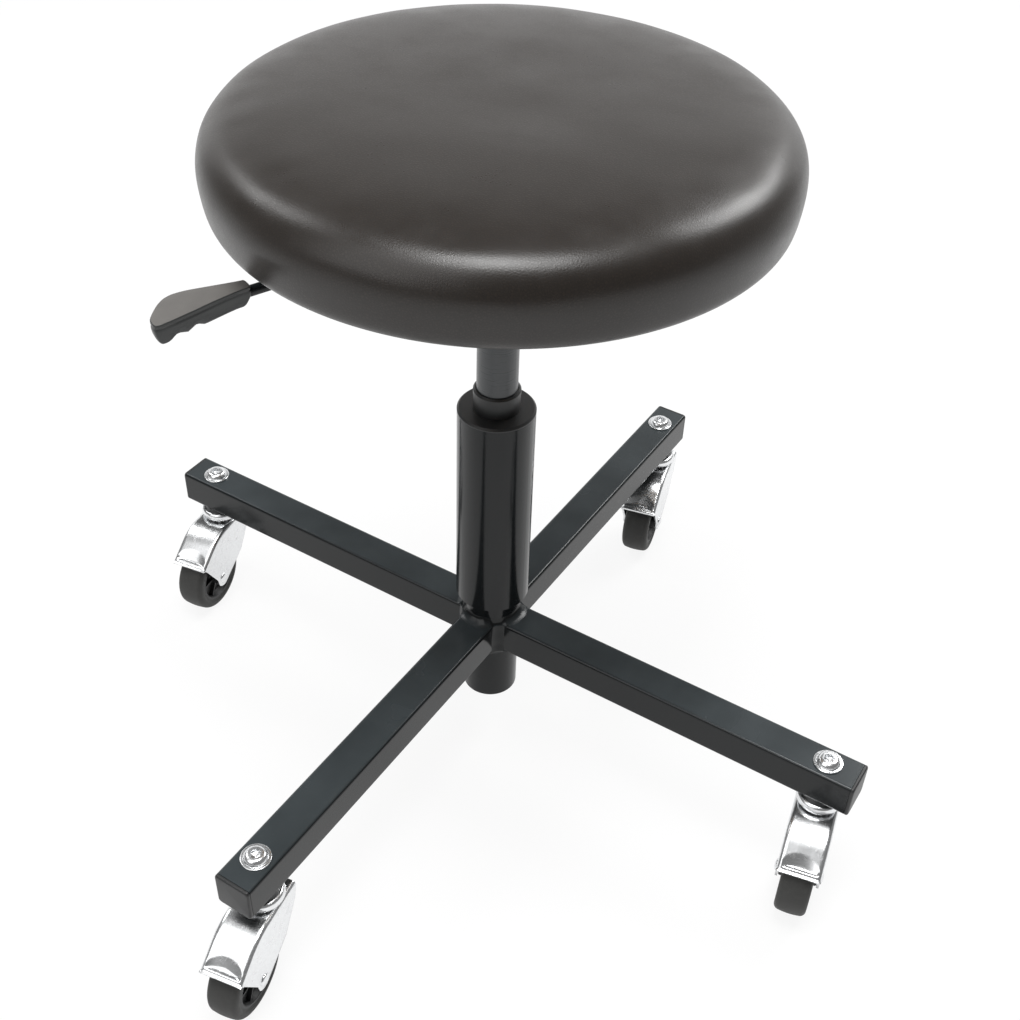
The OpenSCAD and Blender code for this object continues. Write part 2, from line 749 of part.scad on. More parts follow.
module lever_paddle() {
    outline = [for (s = paddle_shares) [s[0] * paddle_len, s[1] * paddle_w]];
    grip_r = (grip_space * grip_space / 4 + grip_depth * grip_depth) / (2 * grip_depth);
    color("#1f2021") at_lever() translate([paddle_start_r, 0, lever_z]) difference() {
        translate([0, 0, -paddle_t / 2]) linear_extrude(paddle_t) polygon(outline);
        translate([0, paddle_w, 0]) rotate([90, 0, 0]) linear_extrude(2 * paddle_w)
            polygon([[-over, paddle_neck_t / 2], [paddle_len / 2, paddle_t / 2], [paddle_len / 2, paddle_t],
                [-over, paddle_t]]);
        for (i = [0 : grip_count - 1])
            translate([paddle_len - grip_from_tip - i * grip_space, 0, grip_depth - paddle_t / 2 - grip_r])
                rotate([90, 0, 0]) cylinder(r = grip_r, h = 2 * paddle_w, center = true);
        translate([-over, 0, 0]) rotate([0, 90, 0]) cylinder(r = lever_rod_d / 2, h = paddle_len / 2 + over);
    }
}

module release_button() {
    dome_r = 0.75 * button_d;
    color("#c9cbcd") union() {
        translate([0, 0, cylinder_top - button_in])
            cylinder(r = button_d / 2, h = button_in + button_proud / 2);
        intersection() {
            translate([0, 0, cylinder_top]) cylinder(r = button_d / 2, h = button_proud);
            translate([0, 0, button_top - dome_r]) sphere(r = dome_r);
        }
    }
}

module caster_hood(k) {
    ear = [caster_trail, wheel_r];
    inner_back = -hood_back + hood_wall;
    lip = roof(0)[arc_steps + 1];
    ear_ends = [for (s = ear_shares) ear + hood_ear_r * s];
    back = [for (s = back_shares) [s[0] * hood_back, wheel_r + s[1] * hood_head]];
    side = concat([[-hood_back, hood_top]], roof(0),
        [lip - [0, 2 * hood_wall], ear_ends[0], ear, ear_ends[1]], back);
    color("#c9cbcd") at_caster(k) difference() {
        union() {
            rotate([90, 0, 0]) linear_extrude(hood_w, center = true) polygon(side);
            translate([caster_trail, 0, wheel_r]) rotate([90, 0, 0])
                cylinder(r = hood_ear_r, h = hood_w, center = true);
            translate([lip[0] - hood_wall, -hood_w / 2, lip[1] - 2 * hood_wall])
                cube([hood_wall + hood_lip, hood_w, hood_wall]);
        }
        rotate([90, 0, 0]) linear_extrude(hood_inner_w, center = true) polygon(concat(
            [[inner_back, -over], [inner_back, hood_top - hood_wall]], roof(hood_wall),
            [[hood_reach, -over]]));
        translate([0, 0, hood_top - 2 * hood_wall])
            cylinder(r = king_d / 2 + hole_fit, h = 2 * hood_wall + over);
        groove(swivel_pitch_r, swivel_ball_z);
        translate([caster_trail, 0, wheel_r]) rotate([90, 0, 0])
            cylinder(r = axle_d / 2, h = hood_w + 2 * over, center = true);
    }
}

module caster_axle(k) {
    color("#b4b6b8") at_caster(k) translate([caster_trail, 0, wheel_r]) rotate([90, 0, 0]) union() {
        cylinder(r = axle_d / 2, h = hood_w + axle_head_t, center = true);
        for (s = [-1, 1]) translate([0, 0, s * (hood_w + axle_head_t) / 2])
            cylinder(r = axle_head_d / 2, h = axle_head_t, center = true);
    }
}

module wheel_tyre(k) {
    half = tyre_w / 2;
    edge_r = wheel_r - tyre_edge_r;
    color("#232425") at_caster(k) translate([caster_trail, 0, wheel_r]) rotate([90, 0, 0])
        rotate_extrude() polygon(concat([[core_r, -half], [edge_r, -half]],
            arc([edge_r, -half + tyre_edge_r], tyre_edge_r, -shoulder_turn, 0, arc_steps),
            arc([edge_r, half - tyre_edge_r], tyre_edge_r, 0, shoulder_turn, arc_steps),
            [[edge_r, half], [core_r, half]]));
}

module wheel_core(k) {
    half = tyre_w / 2;
    boss_half = hood_inner_w / 2 - air;
    boss_r = axle_d;
    bore_r = axle_d / 2 + run_fit;
    web_half = half / 2;
    rim_r = core_r - tyre_depth / 3;
    far_side = [[bore_r, boss_half], [boss_r, boss_half], [boss_r, web_half], [rim_r, web_half],
        [rim_r, half], [core_r, half]];
    last = len(far_side) - 1;
    near_side = [for (i = [last : -1 : 0]) [far_side[i][0], -far_side[i][1]]];
    color("#2c2e30") at_caster(k) translate([caster_trail, 0, wheel_r]) rotate([90, 0, 0])
        rotate_extrude() polygon(concat(far_side, near_side));
}

base_hub();
base_arm(0);  // base_arm_right
base_arm(1);  // base_arm_rear
base_arm(2);  // base_arm_left
base_arm(3);  // base_arm_front
arm_end_plugs();
weld_beads();
column_tube();
column_rings();
guide_bush();
foot_plate();
lower_race();
bearing_balls();
caster_bolts();
caster_spacers();
swivel_cups();
swivel_ball_rings();
caster_washers();
caster_nuts();
piston_rod();
piston();
rod_clip();
upper_race();
rubber_bumper();
gas_cylinder();
rod_guide();
cylinder_socket();
seat_plate();
seat_bolts();
tee_nuts();
seat_board();
foam_pad();
vinyl_cover();
cover_staples();
lever_pivot_pin();
lever_rod();
lever_paddle();
release_button();
caster_hood(0);  // caster_hood_right
caster_axle(0);  // caster_axle_right
wheel_tyre(0);  // wheel_tyre_right
wheel_core(0);  // wheel_core_right
caster_hood(1);  // caster_hood_rear
caster_axle(1);  // caster_axle_rear
wheel_tyre(1);  // wheel_tyre_rear
wheel_core(1);  // wheel_core_rear
caster_hood(2);  // caster_hood_left
caster_axle(2);  // caster_axle_left
wheel_tyre(2);  // wheel_tyre_left
wheel_core(2);  // wheel_core_left
caster_hood(3);  // caster_hood_front
caster_axle(3);  // caster_axle_front
wheel_tyre(3);  // wheel_tyre_front
wheel_core(3);  // wheel_core_front
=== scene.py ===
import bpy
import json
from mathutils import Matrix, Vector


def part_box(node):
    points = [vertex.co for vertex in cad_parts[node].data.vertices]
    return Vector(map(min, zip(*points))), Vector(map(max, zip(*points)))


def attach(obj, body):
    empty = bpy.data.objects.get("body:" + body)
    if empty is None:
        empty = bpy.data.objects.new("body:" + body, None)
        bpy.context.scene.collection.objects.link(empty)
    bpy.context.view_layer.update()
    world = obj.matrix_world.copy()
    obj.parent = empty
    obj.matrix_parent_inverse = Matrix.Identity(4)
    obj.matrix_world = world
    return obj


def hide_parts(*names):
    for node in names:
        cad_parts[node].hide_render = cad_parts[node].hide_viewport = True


bl_info = {
    "name": "Creeper seat",
    "version": (1, 0, 0),
    "blender": (4, 5, 0),
    "location": "View3D > Sidebar > Creeper Seat",
    "description": "Dresses the frame of a creeper seat with its cushion, casters, lever and finishes",
    "category": "Object",
}

import json
import math

import bmesh
import bpy
from bpy.props import FloatProperty, FloatVectorProperty, IntProperty, PointerProperty
from bpy.types import Operator, Panel, PropertyGroup
from mathutils import Matrix, Vector, noise

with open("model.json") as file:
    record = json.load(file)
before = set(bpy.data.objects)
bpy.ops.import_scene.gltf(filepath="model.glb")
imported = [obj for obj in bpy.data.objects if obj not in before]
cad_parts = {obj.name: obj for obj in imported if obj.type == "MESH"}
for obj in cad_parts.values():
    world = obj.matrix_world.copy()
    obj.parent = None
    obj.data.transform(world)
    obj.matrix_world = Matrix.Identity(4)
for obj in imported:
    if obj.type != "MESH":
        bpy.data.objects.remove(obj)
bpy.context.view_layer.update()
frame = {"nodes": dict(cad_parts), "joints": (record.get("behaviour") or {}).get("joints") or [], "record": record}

JOINTS = {joint["name"]: joint for joint in frame["joints"]}
SIDES = [name.rsplit("_", 1)[1] for name in JOINTS if name.startswith("caster_swivel_")]
MM = 0.001


def length(name, description, default):
    """A property that holds a length, given in millimetres and kept in metres."""
    return FloatProperty(name=name, description=description, default=default * MM, min=0.0, precision=4,
                         subtype="DISTANCE", unit="LENGTH")


def number(name, description, default, least):
    """A property that holds a whole number."""
    return IntProperty(name=name, description=description, default=default, min=least)


def colour(name, description, default):
    """A property that holds a colour."""
    return FloatVectorProperty(name=name, description=description, default=default, size=3, min=0.0, max=1.0,
                               subtype="COLOR")


class CushionSizes(PropertyGroup):
    """Sizes of the padded seat."""
    crown: length("Crown", "Rise of the crown above the cushion's edge", 4.1)
    edge: length("Upper edge", "Radius of the cushion's upper edge", 24)
    foot_edge: length("Lower edge", "Radius of the cushion's lower edge", 9.5)
    tuck: length("Tuck", "Inward pull of the cushion at its foot", 2)
    held_back: length("Held back", "How much smaller the cushion starts before it is filled", 0.5)
    swell: length("Swell", "Furthest that filling may move a point of the cushion", 0.7)
    spacing: length("Mesh size", "Spacing of the cushion's points before they are subdivided", 5)
    unevenness: length("Unevenness", "Depth of the soft unevenness of the filled cushion", 0.35)
    unevenness_size: length("Unevenness size", "Width of the soft unevenness", 42)
    cover: length("Cover", "Thickness of the cover where it is turned under the board", 1.1)
    room: length("Room", "Room left around the board inside the cushion", 0.3)
    pleat_depth: length("Pleat depth", "Depth of the pleats under the seat", 0.8)
    pleats: number("Pleats", "Number of pleats in the turned cover", 60, 8)
    pressure: FloatProperty(name="Pressure", description="Pressure that fills the cushion", default=4.0, min=0.0)
    frames: number("Frames", "Frames for which the cushion is filled", 20, 2)
    fill: FloatProperty(name="Fill", description="How full the cushion is", default=0.9, min=0.0, max=1.0,
                        subtype="FACTOR")


class CasterSizes(PropertyGroup):
    """Sizes of the casters' visible parts."""
    wall: length("Wall", "Thickness of the hood's sheet", 1.6)
    edge: length("Edge", "Radius of the bend between the hood's roof and its cheeks", 3.2)
    flat: length("Flat", "Length of the hood's flat top in front of the swivel axis", 16)
    bend: length("Bend", "Radius of the bend in the hood's roof", 35)
    slope: FloatProperty(name="Slope", description="Slope of the hood's roof", default=math.radians(35),
                         subtype="ANGLE", unit="ROTATION")
    ear: length("Ear", "Radius of the hood's ears around the axle", 7.2)
    lip: length("Lip", "Reach of the lip at the roof's lower edge", 2.5)
    arch: length("Arch", "Height of the pressed arch over the lip", 11)
    arch_depth: length("Arch depth", "Depth of the pressed arch", 2.1)
    race_r: length("Race", "Radius of the groove for the swivel's balls", 10)
    race_half: length("Race half", "Half the width of the groove for the swivel's balls", 1.9)
    race_depth: length("Race depth", "Depth of the groove for the swivel's balls", 0.7)
    hole: length("Hole", "Radius of the hole for the caster's bolt", 5.3)
    rim: length("Rim", "Width of the broken edges of the hood's sheet", 0.25)
    cup_edge: length("Cup edge", "Radius of the swivel cup's upper edge", 2.6)
    cup_skirt: length("Cup skirt", "Radius of the swivel cup's lower edge", 0.8)
    shoulder: length("Shoulder", "Radius of the tyre's shoulders", 4)
    tread_crown: length("Tread", "Rise of the tread's middle over its shoulders", 0.5)
    bead: length("Bead", "Height of the tyre's inner edge over the wheel's core", 1.6)
    bead_step: length("Bead step", "Depth of the step inside the tyre's inner edge", 0.5)
    core_rim: length("Core rim", "Thickness of the rim of the wheel's core", 2.6)
    core_bevel: length("Core bevel", "Width of the broken edges of the wheel's core", 0.6)
    rib: length("Rib", "Thickness of the ribs in the wheel's core", 1.6)
    ribs: number("Ribs", "Number of ribs on each side of the wheel's core", 6, 3)
    rivet_r: length("Rivet", "Radius of the axle's riveted heads", 4.2)
    axle_play: length("Axle play", "Play between the axle and the wheel's core", 0.05)


class SteelSizes(PropertyGroup):
    """Sizes of bolts, plugs, welds and staples."""
    bolt_flange: length("Bolt flange", "Thickness of the flange under the caster bolts' heads", 1.2)
    bolt_bevel: length("Bolt bevel", "Width of the broken edge under the bolts' flange", 0.2)
    bolt_edge: length("Bolt edge", "Radius of the upper edge of the bolts' flange", 0.5)
    bolt_r: length("Bolt shank", "Radius of the caster bolts' shanks", 5)
    socket: length("Socket", "Width across the flats of the bolts' hexagonal socket", 6)
    socket_depth: length("Socket depth", "Depth of the bolts' hexagonal socket", 3)
    socket_bevel: length("Socket bevel", "Depth of the broken edge of the bolts' socket", 0.25)
    socket_cone: length("Socket cone", "Depth of the drilled cone under the bolts' socket", 0.8)
    plug_head: length("Plug head", "Thickness of the end plugs' heads", 2.5)
    plug_edge: length("Plug edge", "Radius of the end plugs' rounded rim", 1.3)
    plug_bevel: length("Plug bevel", "Width of the broken inner edge of the end plugs' heads", 0.3)
    plug_body: length("Plug body", "Length of the end plugs inside the arms", 11)
    plug_taper: length("Plug taper", "Length of the taper at the end plugs' inner ends", 1.2)
    plug_fall: length("Plug fall", "Depth of the taper at the end plugs' inner ends", 0.8)
    plug_corner: length("Plug corner", "Radius of the end plugs' corners", 2.2)
    arm_wall: length("Arm wall", "Wall of the arms around the end plugs, with some play", 1.7)
    weld: length("Weld", "Width of the weld fillets", 6)
    weld_margin: length("Weld margin", "Width left bare between a fillet and an arm's edge", 0.6)
    weld_sunk: length("Weld depth", "How far the fillets reach into the steel under them", 0.3)
    staple: length("Staple", "Width of a staple", 10)
    staple_wire: length("Staple wire", "Thickness of the staples' wire", 0.8)
    staple_bend: length("Staple bend", "Radius of the bends in a staple", 0.9)
    staples: number("Staples", "Number of staples that hold the cover", 30, 4)


class LeverSizes(PropertyGroup):
    """Sizes of the lever's paddle."""
    rim: length("Rim", "Height of the paddle's upper rim", 2.3)
    top_edge: length("Top edge", "Radius of the paddle's upper edge", 0.9)
    groove: length("Groove", "Depth of the groove under the paddle's rim", 0.5)
    foot_edge: length("Lower edge", "Radius of the paddle's lower rim", 3.4)
    notch_depth: length("Notch", "Depth of the finger grips", 2)
    notch_space: length("Notch spacing", "Spacing of the finger grips", 11)
    notch_from_tip: length("Notch place", "Distance of the last finger grip from the tip", 12.5)
    neck: length("Neck", "Fall of the paddle's top towards its inner end", 1)
    tip_lift: length("Tip lift", "Rise of the paddle's foot at its tip", 1.2)
    heel_lift: length("Heel lift", "Rise of the paddle's foot at its inner end", 1.6)


class Finishes(PropertyGroup):
    """Colours of the seat's materials."""
    vinyl: colour("Vinyl", "Cover of the cushion", (0.019, 0.0140, 0.0105))
    paint: colour("Paint", "Powder coat of the frame", (0.0065, 0.0078, 0.0084))
    cylinder: colour("Gas cylinder", "Finish of the gas cylinder", (0.030, 0.034, 0.037))
    plastic: colour("Plastic", "Plugs, bush and wheel cores", (0.012, 0.0125, 0.013))
    paddle: colour("Paddle", "Plastic of the lever's paddle", (0.030, 0.032, 0.032))
    # The paddle's top colour is partly worn plastic and partly a painted sheen from light falling on the top.
    paddle_top_worn_and_lit: colour("Paddle top", "Dulled top of the lever's paddle", (0.135, 0.128, 0.120))
    tyre: colour("Tyre", "Rubber of the tyres", (0.040, 0.040, 0.038))
    zinc: colour("Zinc", "Bright zinc plate", (0.83, 0.84, 0.85))
    steel: colour("Steel", "Plain steel", (0.50, 0.50, 0.51))
    board: colour("Board", "Plywood of the seat board", (0.45, 0.29, 0.15))
    foam: colour("Foam", "Foam of the cushion", (0.66, 0.58, 0.34))


class Wire:
    """An output socket of a node. Sums and products on it add Math nodes."""

    def __init__(self, tree, socket=None):
        self.tree = tree
        self.socket = socket

    def node(self, kind, settings=None, inputs=None, output=0):
        """Adds a node, with its settings first and then the values or links of its sockets."""
        made = self.tree.nodes.new(kind)
        for key, value in (settings or {}).items():
            setattr(made, key, value)
        for key, value in (inputs or {}).items():
            if isinstance(value, Wire):
                self.tree.links.new(value.socket, made.inputs[key])
            else:
                made.inputs[key].default_value = value
        return Wire(self.tree, made.outputs[output]) if made.outputs else made

    def math(self, operation, first, second):
        return self.node("ShaderNodeMath", {"operation": operation}, {0: first, 1: second})

    def __add__(self, other):
        return self.math("ADD", self, other)

    def __radd__(self, other):
        return self.math("ADD", other, self)

    def __sub__(self, other):
        return self.math("SUBTRACT", self, other)

    def __rsub__(self, other):
        return self.math("SUBTRACT", other, self)

    def __mul__(self, other):
        return self.math("MULTIPLY", self, other)

    def __rmul__(self, other):
        return self.math("MULTIPLY", other, self)

    def at_most(self, other):
        return self.math("MINIMUM", self, other)

    def ramp(self, low, high):
        """0 below low, 1 above high and even between them."""
        return self.node("ShaderNodeMapRange", {"clamp": True}, {"Value": self, "From Min": low, "From Max": high})

    def mix(self, dark, light):
        """A colour between two, with this value as the share of the second."""
        return self.node("ShaderNodeMix", {"data_type": "RGBA"}, {0: self, 6: dark, 7: light}, 2)

    def shades(self, rgb, dark, light):
        """A colour between two shades of one colour."""
        return self.mix(shade(rgb, dark), shade(rgb, light))


class Finish:
    """A material under construction, with its shader and the coordinates of its pieces. Sizes are in millimetres."""

    def __init__(self, name, **fixed):
        self.material = bpy.data.materials.new(name)
        self.material.use_nodes = True
        tree = self.material.node_tree
        self.shader = next(n for n in tree.nodes if n.type == "BSDF_PRINCIPLED")
        for key, value in fixed.items():
            self.shader.inputs[key.replace("_", " ").title().replace("Ior", "IOR")].default_value = value
        self.wire = Wire(tree)
        self.place = self.wire.node("ShaderNodeTexCoord", output=3)

    def noise(self, size, detail=2.0, roughness=0.5, place=None):
        """Noise from 0 to 1 whose features are about as wide as size."""
        return self.wire.node("ShaderNodeTexNoise", None, {
            "Vector": place or self.place, "Scale": 1.0 / (size * MM), "Detail": detail, "Roughness": roughness})

    def cells(self, size, feature="F1"):
        """Distance to the nearest cell point or edge, for cells about as wide as size."""
        return self.wire.node("ShaderNodeTexVoronoi", {"feature": feature}, {
            "Vector": self.place, "Scale": 1.0 / (size * MM)})

    def stretched(self, x, y, z):
        """The pieces' coordinates, scaled along each axis."""
        return self.wire.node("ShaderNodeMapping", None, {"Vector": self.place, "Scale": (x, y, z)})

    def facing_up(self):
        """How far the surface faces up, from -1 to 1."""
        normal = self.wire.node("ShaderNodeNewGeometry", output=1)
        return self.wire.node("ShaderNodeSeparateXYZ", None, {0: normal}, 2)

    def bump(self, height, depth, strength, under=None):
        """A bumped normal, which may lie over another."""
        inputs = {"Height": height, "Distance": depth * MM, "Strength": strength}
        if under:
            inputs["Normal"] = under
        return self.wire.node("ShaderNodeBump", None, inputs)

    def link(self, tone, roughness, height, depth, strength, under=None):
        """Links the tone, the roughness and a bump to the shader and returns the material."""
        links = {"Base Color": tone, "Roughness": roughness, "Normal": self.bump(height, depth, strength, under)}
        for socket, value in links.items():
            self.wire.tree.links.new(value.socket, self.shader.inputs[socket])
        return self.material


def shade(rgb, scale=1.0):
    """A colour with its alpha, made lighter or darker."""
    return (*[min(1.0, channel * scale) for channel in rgb], 1.0)


def vinyl_finish(colours):
    """Fine grained upholstery vinyl: rounded grain cells, with painted shade in the creases between them."""
    made = Finish("vinyl", specular_ior_level=0.5, sheen_weight=0.06, sheen_roughness=0.5)
    drift = made.noise(45, 3.0)
    grain = made.cells(1.5, "DISTANCE_TO_EDGE").ramp(0.0, 0.35)
    fine = made.noise(0.45)
    worn = made.noise(18, 4.0, 0.6).ramp(0.42, 0.72)
    # Painted shade: the creases between the grain cells are darkened to 0.6 of the vinyl's colour.
    tone = grain.mix(shade(colours.vinyl, 0.6), (drift * 0.7 + worn * 0.3).shades(colours.vinyl, 0.86, 1.16))
    roughness = 0.25 + drift * 0.06 + worn * 0.05 + (1.0 - grain) * 0.06
    return made.link(tone, roughness, grain * 0.8 + fine * 0.2, 0.045, 0.55)


def paint_finish(colours):
    """Satin powder coat with orange peel, and a little dust with a painted sheen that makes it lighter where it faces
    up.
    """
    made = Finish("black_paint", specular_ior_level=0.3)
    drift = made.noise(60, 3.0)
    specks = made.noise(2.5, 6.0, 0.7).ramp(0.62, 0.74)
    # Dust and a painted sheen: where the surface faces up, the tone is made up to 8.5 times lighter, standing in for
    # light from above.
    dust_and_painted_sheen = made.facing_up().ramp(0.6, 1.0) * (0.55 + drift.ramp(0.3, 0.75) * 0.45)
    tone = (dust_and_painted_sheen * 0.85 + specks * 0.1).shades(colours.paint, 1.0, 8.5)
    return made.link(tone, 0.13 + drift * 0.06 + dust_and_painted_sheen * 0.12, made.noise(1.3, 1.0), 0.03, 0.5)


def cylinder_finish(colours):
    """Ground and coated steel of the gas cylinder, with faint lines round it."""
    made = Finish("dark_zinc", specular_ior_level=0.6)
    lines = made.noise(0.35, place=made.stretched(0.02, 0.02, 1.0))
    tone = made.noise(30).shades(colours.cylinder, 0.9, 1.3)
    return made.link(tone, 0.24 + lines * 0.10, lines, 0.01, 0.4)


def plastic_finish(name, rgb, gloss=0.36):
    """Moulded black plastic with a fine spark eroded texture."""
    made = Finish(name, specular_ior_level=0.5)
    drift = made.noise(22, 3.0)
    return made.link(drift.shades(rgb, 0.9, 1.35), gloss + drift * 0.10, made.noise(0.6, 2.0, 0.6), 0.03, 0.5)


def paddle_finish(colours):
    """Moulded plastic whose top is dulled by hands and made lighter by a painted sheen."""
    made = Finish("paddle_plastic", specular_ior_level=0.5)
    # Partly wear and partly painted light: where the paddle faces up, its tone goes to the lighter top colour,
    # standing in for light falling on the top, and its roughness rises with wear.
    dulled = made.facing_up().ramp(0.75, 0.98) * (0.72 + made.noise(9, 3.0) * 0.4).at_most(1.0)
    tone = dulled.mix(shade(colours.paddle), shade(colours.paddle_top_worn_and_lit))
    return made.link(tone, 0.34 + dulled * 0.16, made.noise(0.7, 2.0, 0.6), 0.05, 0.6)


def tyre_finish(colours):
    """Grey black rubber, scuffed on the tread."""
    made = Finish("tyre", specular_ior_level=0.4)
    scuff = made.noise(3, 5.0, 0.65).ramp(0.45, 0.7)
    tone = (scuff * 0.5 + made.noise(14) * 0.3).shades(colours.tyre, 0.85, 1.45)
    return made.link(tone, 0.55 + scuff * 0.15, made.noise(0.8, 3.0), 0.05, 0.6)


def zinc_finish(colours):
    """Bright zinc plate: pale metal with faint crystals, rolling marks and small dulled spots."""
    made = Finish("bright_zinc", metallic=1.0)
    crystals = made.cells(2.2)
    marks = made.noise(1.6, 3.0, place=made.stretched(1.0, 0.25, 1.0))
    dulled = made.noise(5, 4.0, 0.6).ramp(0.56, 0.74)
    tone = (crystals * 0.35 + dulled * 0.45).shades(colours.zinc, 1.04, 0.82)
    fine = made.bump(marks * 0.6 + crystals * 0.4, 0.02, 0.35)
    return made.link(tone, 0.20 + marks * 0.08 + dulled * 0.14, made.noise(16, 1.0), 0.5, 0.4, fine)


def steel_finish(name, rgb, gloss=0.28):
    """Plain machined steel with fine lines and a few stains."""
    made = Finish(name, metallic=1.0)
    lines = made.noise(0.5, place=made.stretched(1.0, 1.0, 0.1))
    stains = made.noise(6, 4.0, 0.6).ramp(0.5, 0.75)
    return made.link(stains.shades(rgb, 1.0, 0.6), gloss + lines * 0.1 + stains * 0.15, lines, 0.01, 0.4)


def rubber_finish(name, rgb):
    """Soft black rubber."""
    made = Finish(name, specular_ior_level=0.4)
    drift = made.noise(4, 3.0)
    return made.link(drift.shades(rgb, 0.8, 1.4), 0.6 + drift * 0.1, drift, 0.05, 0.4)


def board_finish(colours):
    """Sanded plywood: long grain on its faces, with darker pores."""
    made = Finish("plywood", specular_ior_level=0.3)
    grain = made.noise(7, 4.0, 0.6, made.stretched(0.09, 1.0, 1.0))
    pores = made.noise(1.2, 3.0, 0.6, made.stretched(0.05, 1.0, 1.0)).ramp(0.55, 0.7)
    tone = (grain * 0.75 + pores * 0.25).shades(colours.board, 1.15, 0.55)
    return made.link(tone, 0.62 + grain * 0.1, pores, 0.05, 0.5)


def foam_finish(colours):
    """Open celled foam."""
    made = Finish("foam", specular_ior_level=0.2)
    pores = made.cells(1.1).ramp(0.1, 0.5)
    return made.link(pores.shades(colours.foam, 0.6, 1.0), 0.85 + pores * 0.1, pores, 0.2, 0.7)


def make_finishes(colours):
    """One material for each of the record's material slots, and one for the paddle."""
    return {
        "vinyl": vinyl_finish(colours),
        "black_paint": paint_finish(colours),
        "dark_zinc": cylinder_finish(colours),
        "black_plastic": plastic_finish("black_plastic", colours.plastic),
        "wheel_plastic": plastic_finish("wheel_plastic", colours.plastic, 0.42),
        "spacer_black": plastic_finish("spacer_black", colours.plastic, 0.3),
        "paddle": paddle_finish(colours),
        "tyre": tyre_finish(colours),
        "bumper_rubber": rubber_finish("bumper_rubber", colours.plastic),
        "bright_zinc": zinc_finish(colours),
        "plain_steel": steel_finish("plain_steel", colours.steel),
        "chromed_rod": steel_finish("chromed_rod", colours.zinc, 0.06),
        "plywood": board_finish(colours),
        "foam": foam_finish(colours),
    }


MADE_FINISHES = {}


def finish_of(name):
    """The material of a finish, made with the others on first use."""
    if not MADE_FINISHES:
        MADE_FINISHES.update(make_finishes(bpy.context.scene.finishes))
    return MADE_FINISHES[name]


def smoothstep(x):
    """0 below 0, 1 above 1 and a smooth rise between them."""
    x = min(1.0, max(0.0, x))
    return x * x * (3.0 - 2.0 * x)


def arc(centre, radius, start, end, steps):
    """Points on an arc in a plane, with its angles in degrees."""
    turns = [math.radians(start + (end - start) * i / steps) for i in range(steps + 1)]
    return [(centre[0] + radius * math.cos(t), centre[1] + radius * math.sin(t)) for t in turns]


def round_angles(steps):
    """Even angles once round."""
    return [2.0 * math.pi * i / steps for i in range(steps)]


def mirrored(outline):
    """An outline's points on the other side of height 0, from its last to its first."""
    return [(r, -z) for r, z in reversed(outline)]


def between(points, x):
    """The height at x of a line through points in order of x."""
    for (x0, z0), (x1, z1) in zip(points, points[1:]):
        if x <= x1:
            return z0 + (z1 - z0) * (x - x0) / (x1 - x0)
    return points[-1][1]


def grid(bm, rows, closed=False, looped=False, near=0.005 * MM):
    """Adds a sheet of quads through rows of points. Each row may close round, and the last may join the first."""
    made = [[bm.verts.new(point) for point in row] for row in rows]
    for low, high in zip(made, made[1:] + (made[:1] if looped else [])):
        count = len(low)
        for i in range(count if closed else count - 1):
            j = (i + 1) % count
            bm.faces.new((low[i], low[j], high[j], high[i]))
    bmesh.ops.remove_doubles(bm, verts=bm.verts, dist=near)
    bmesh.ops.dissolve_degenerate(bm, edges=bm.edges, dist=0.001 * MM)
    return made


def turn(bm, outline, steps, matrix=Matrix(), looped=False):
    """Adds a turned outline of (radius, height) points to a mesh, about its Z axis."""
    rings = [[matrix @ Vector((r * math.cos(a), r * math.sin(a), z)) for a in round_angles(steps)]
             for r, z in outline]
    grid(bm, rings, closed=True, looped=looped, near=0.001 * MM)


def cap(bm, rings):
    """Closes the first and the last of a grid's rings with one face each."""
    for row in (rings[0], rings[-1]):
        bm.faces.new([v for v in row if v.is_valid])


def smoothed(mesh, angle):
    """Shades a mesh smooth but for the edges that are sharper than an angle in degrees."""
    mesh.shade_smooth()
    mesh.set_sharp_from_angle(angle=math.radians(angle))


def mesh_object(name, bm, angle=40.0):
    """Makes a linked object from a mesh under construction."""
    bmesh.ops.recalc_face_normals(bm, faces=bm.faces)
    mesh = bpy.data.meshes.new(name)
    bm.to_mesh(mesh)
    bm.free()
    smoothed(mesh, angle)
    made = bpy.data.objects.new(name, mesh)
    bpy.context.scene.collection.objects.link(made)
    return made


def applied(obj):
    """Turns an object's modifiers into its own plain mesh."""
    bpy.context.view_layer.update()
    evaluated = obj.evaluated_get(bpy.context.evaluated_depsgraph_get())
    mesh = bpy.data.meshes.new_from_object(evaluated)
    old = obj.data
    obj.modifiers.clear()
    obj.data = mesh
    mesh.name = obj.name
    bpy.data.meshes.remove(old)
    return obj


def change(obj, kind, **settings):
    """Adds a modifier to an object, with its settings."""
    made = obj.modifiers.new(kind.lower(), kind)
    for key, value in settings.items():
        setattr(made, key, value)
    return made


def cut(obj, cutter):
    """Cuts one object out of another and removes the cutter."""
    change(obj, "BOOLEAN", operation="DIFFERENCE", solver="MANIFOLD", object=cutter)
    applied(obj)
    bpy.data.objects.remove(cutter)


def finish_piece(obj, body, slot, finish, *replaced):
    """Gives a piece its material and its body, and hides the CAD nodes that it stands for."""
    obj.data.materials.clear()
    obj.data.materials.append(finish_of(finish))
    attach(obj, body)
    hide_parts(*replaced)


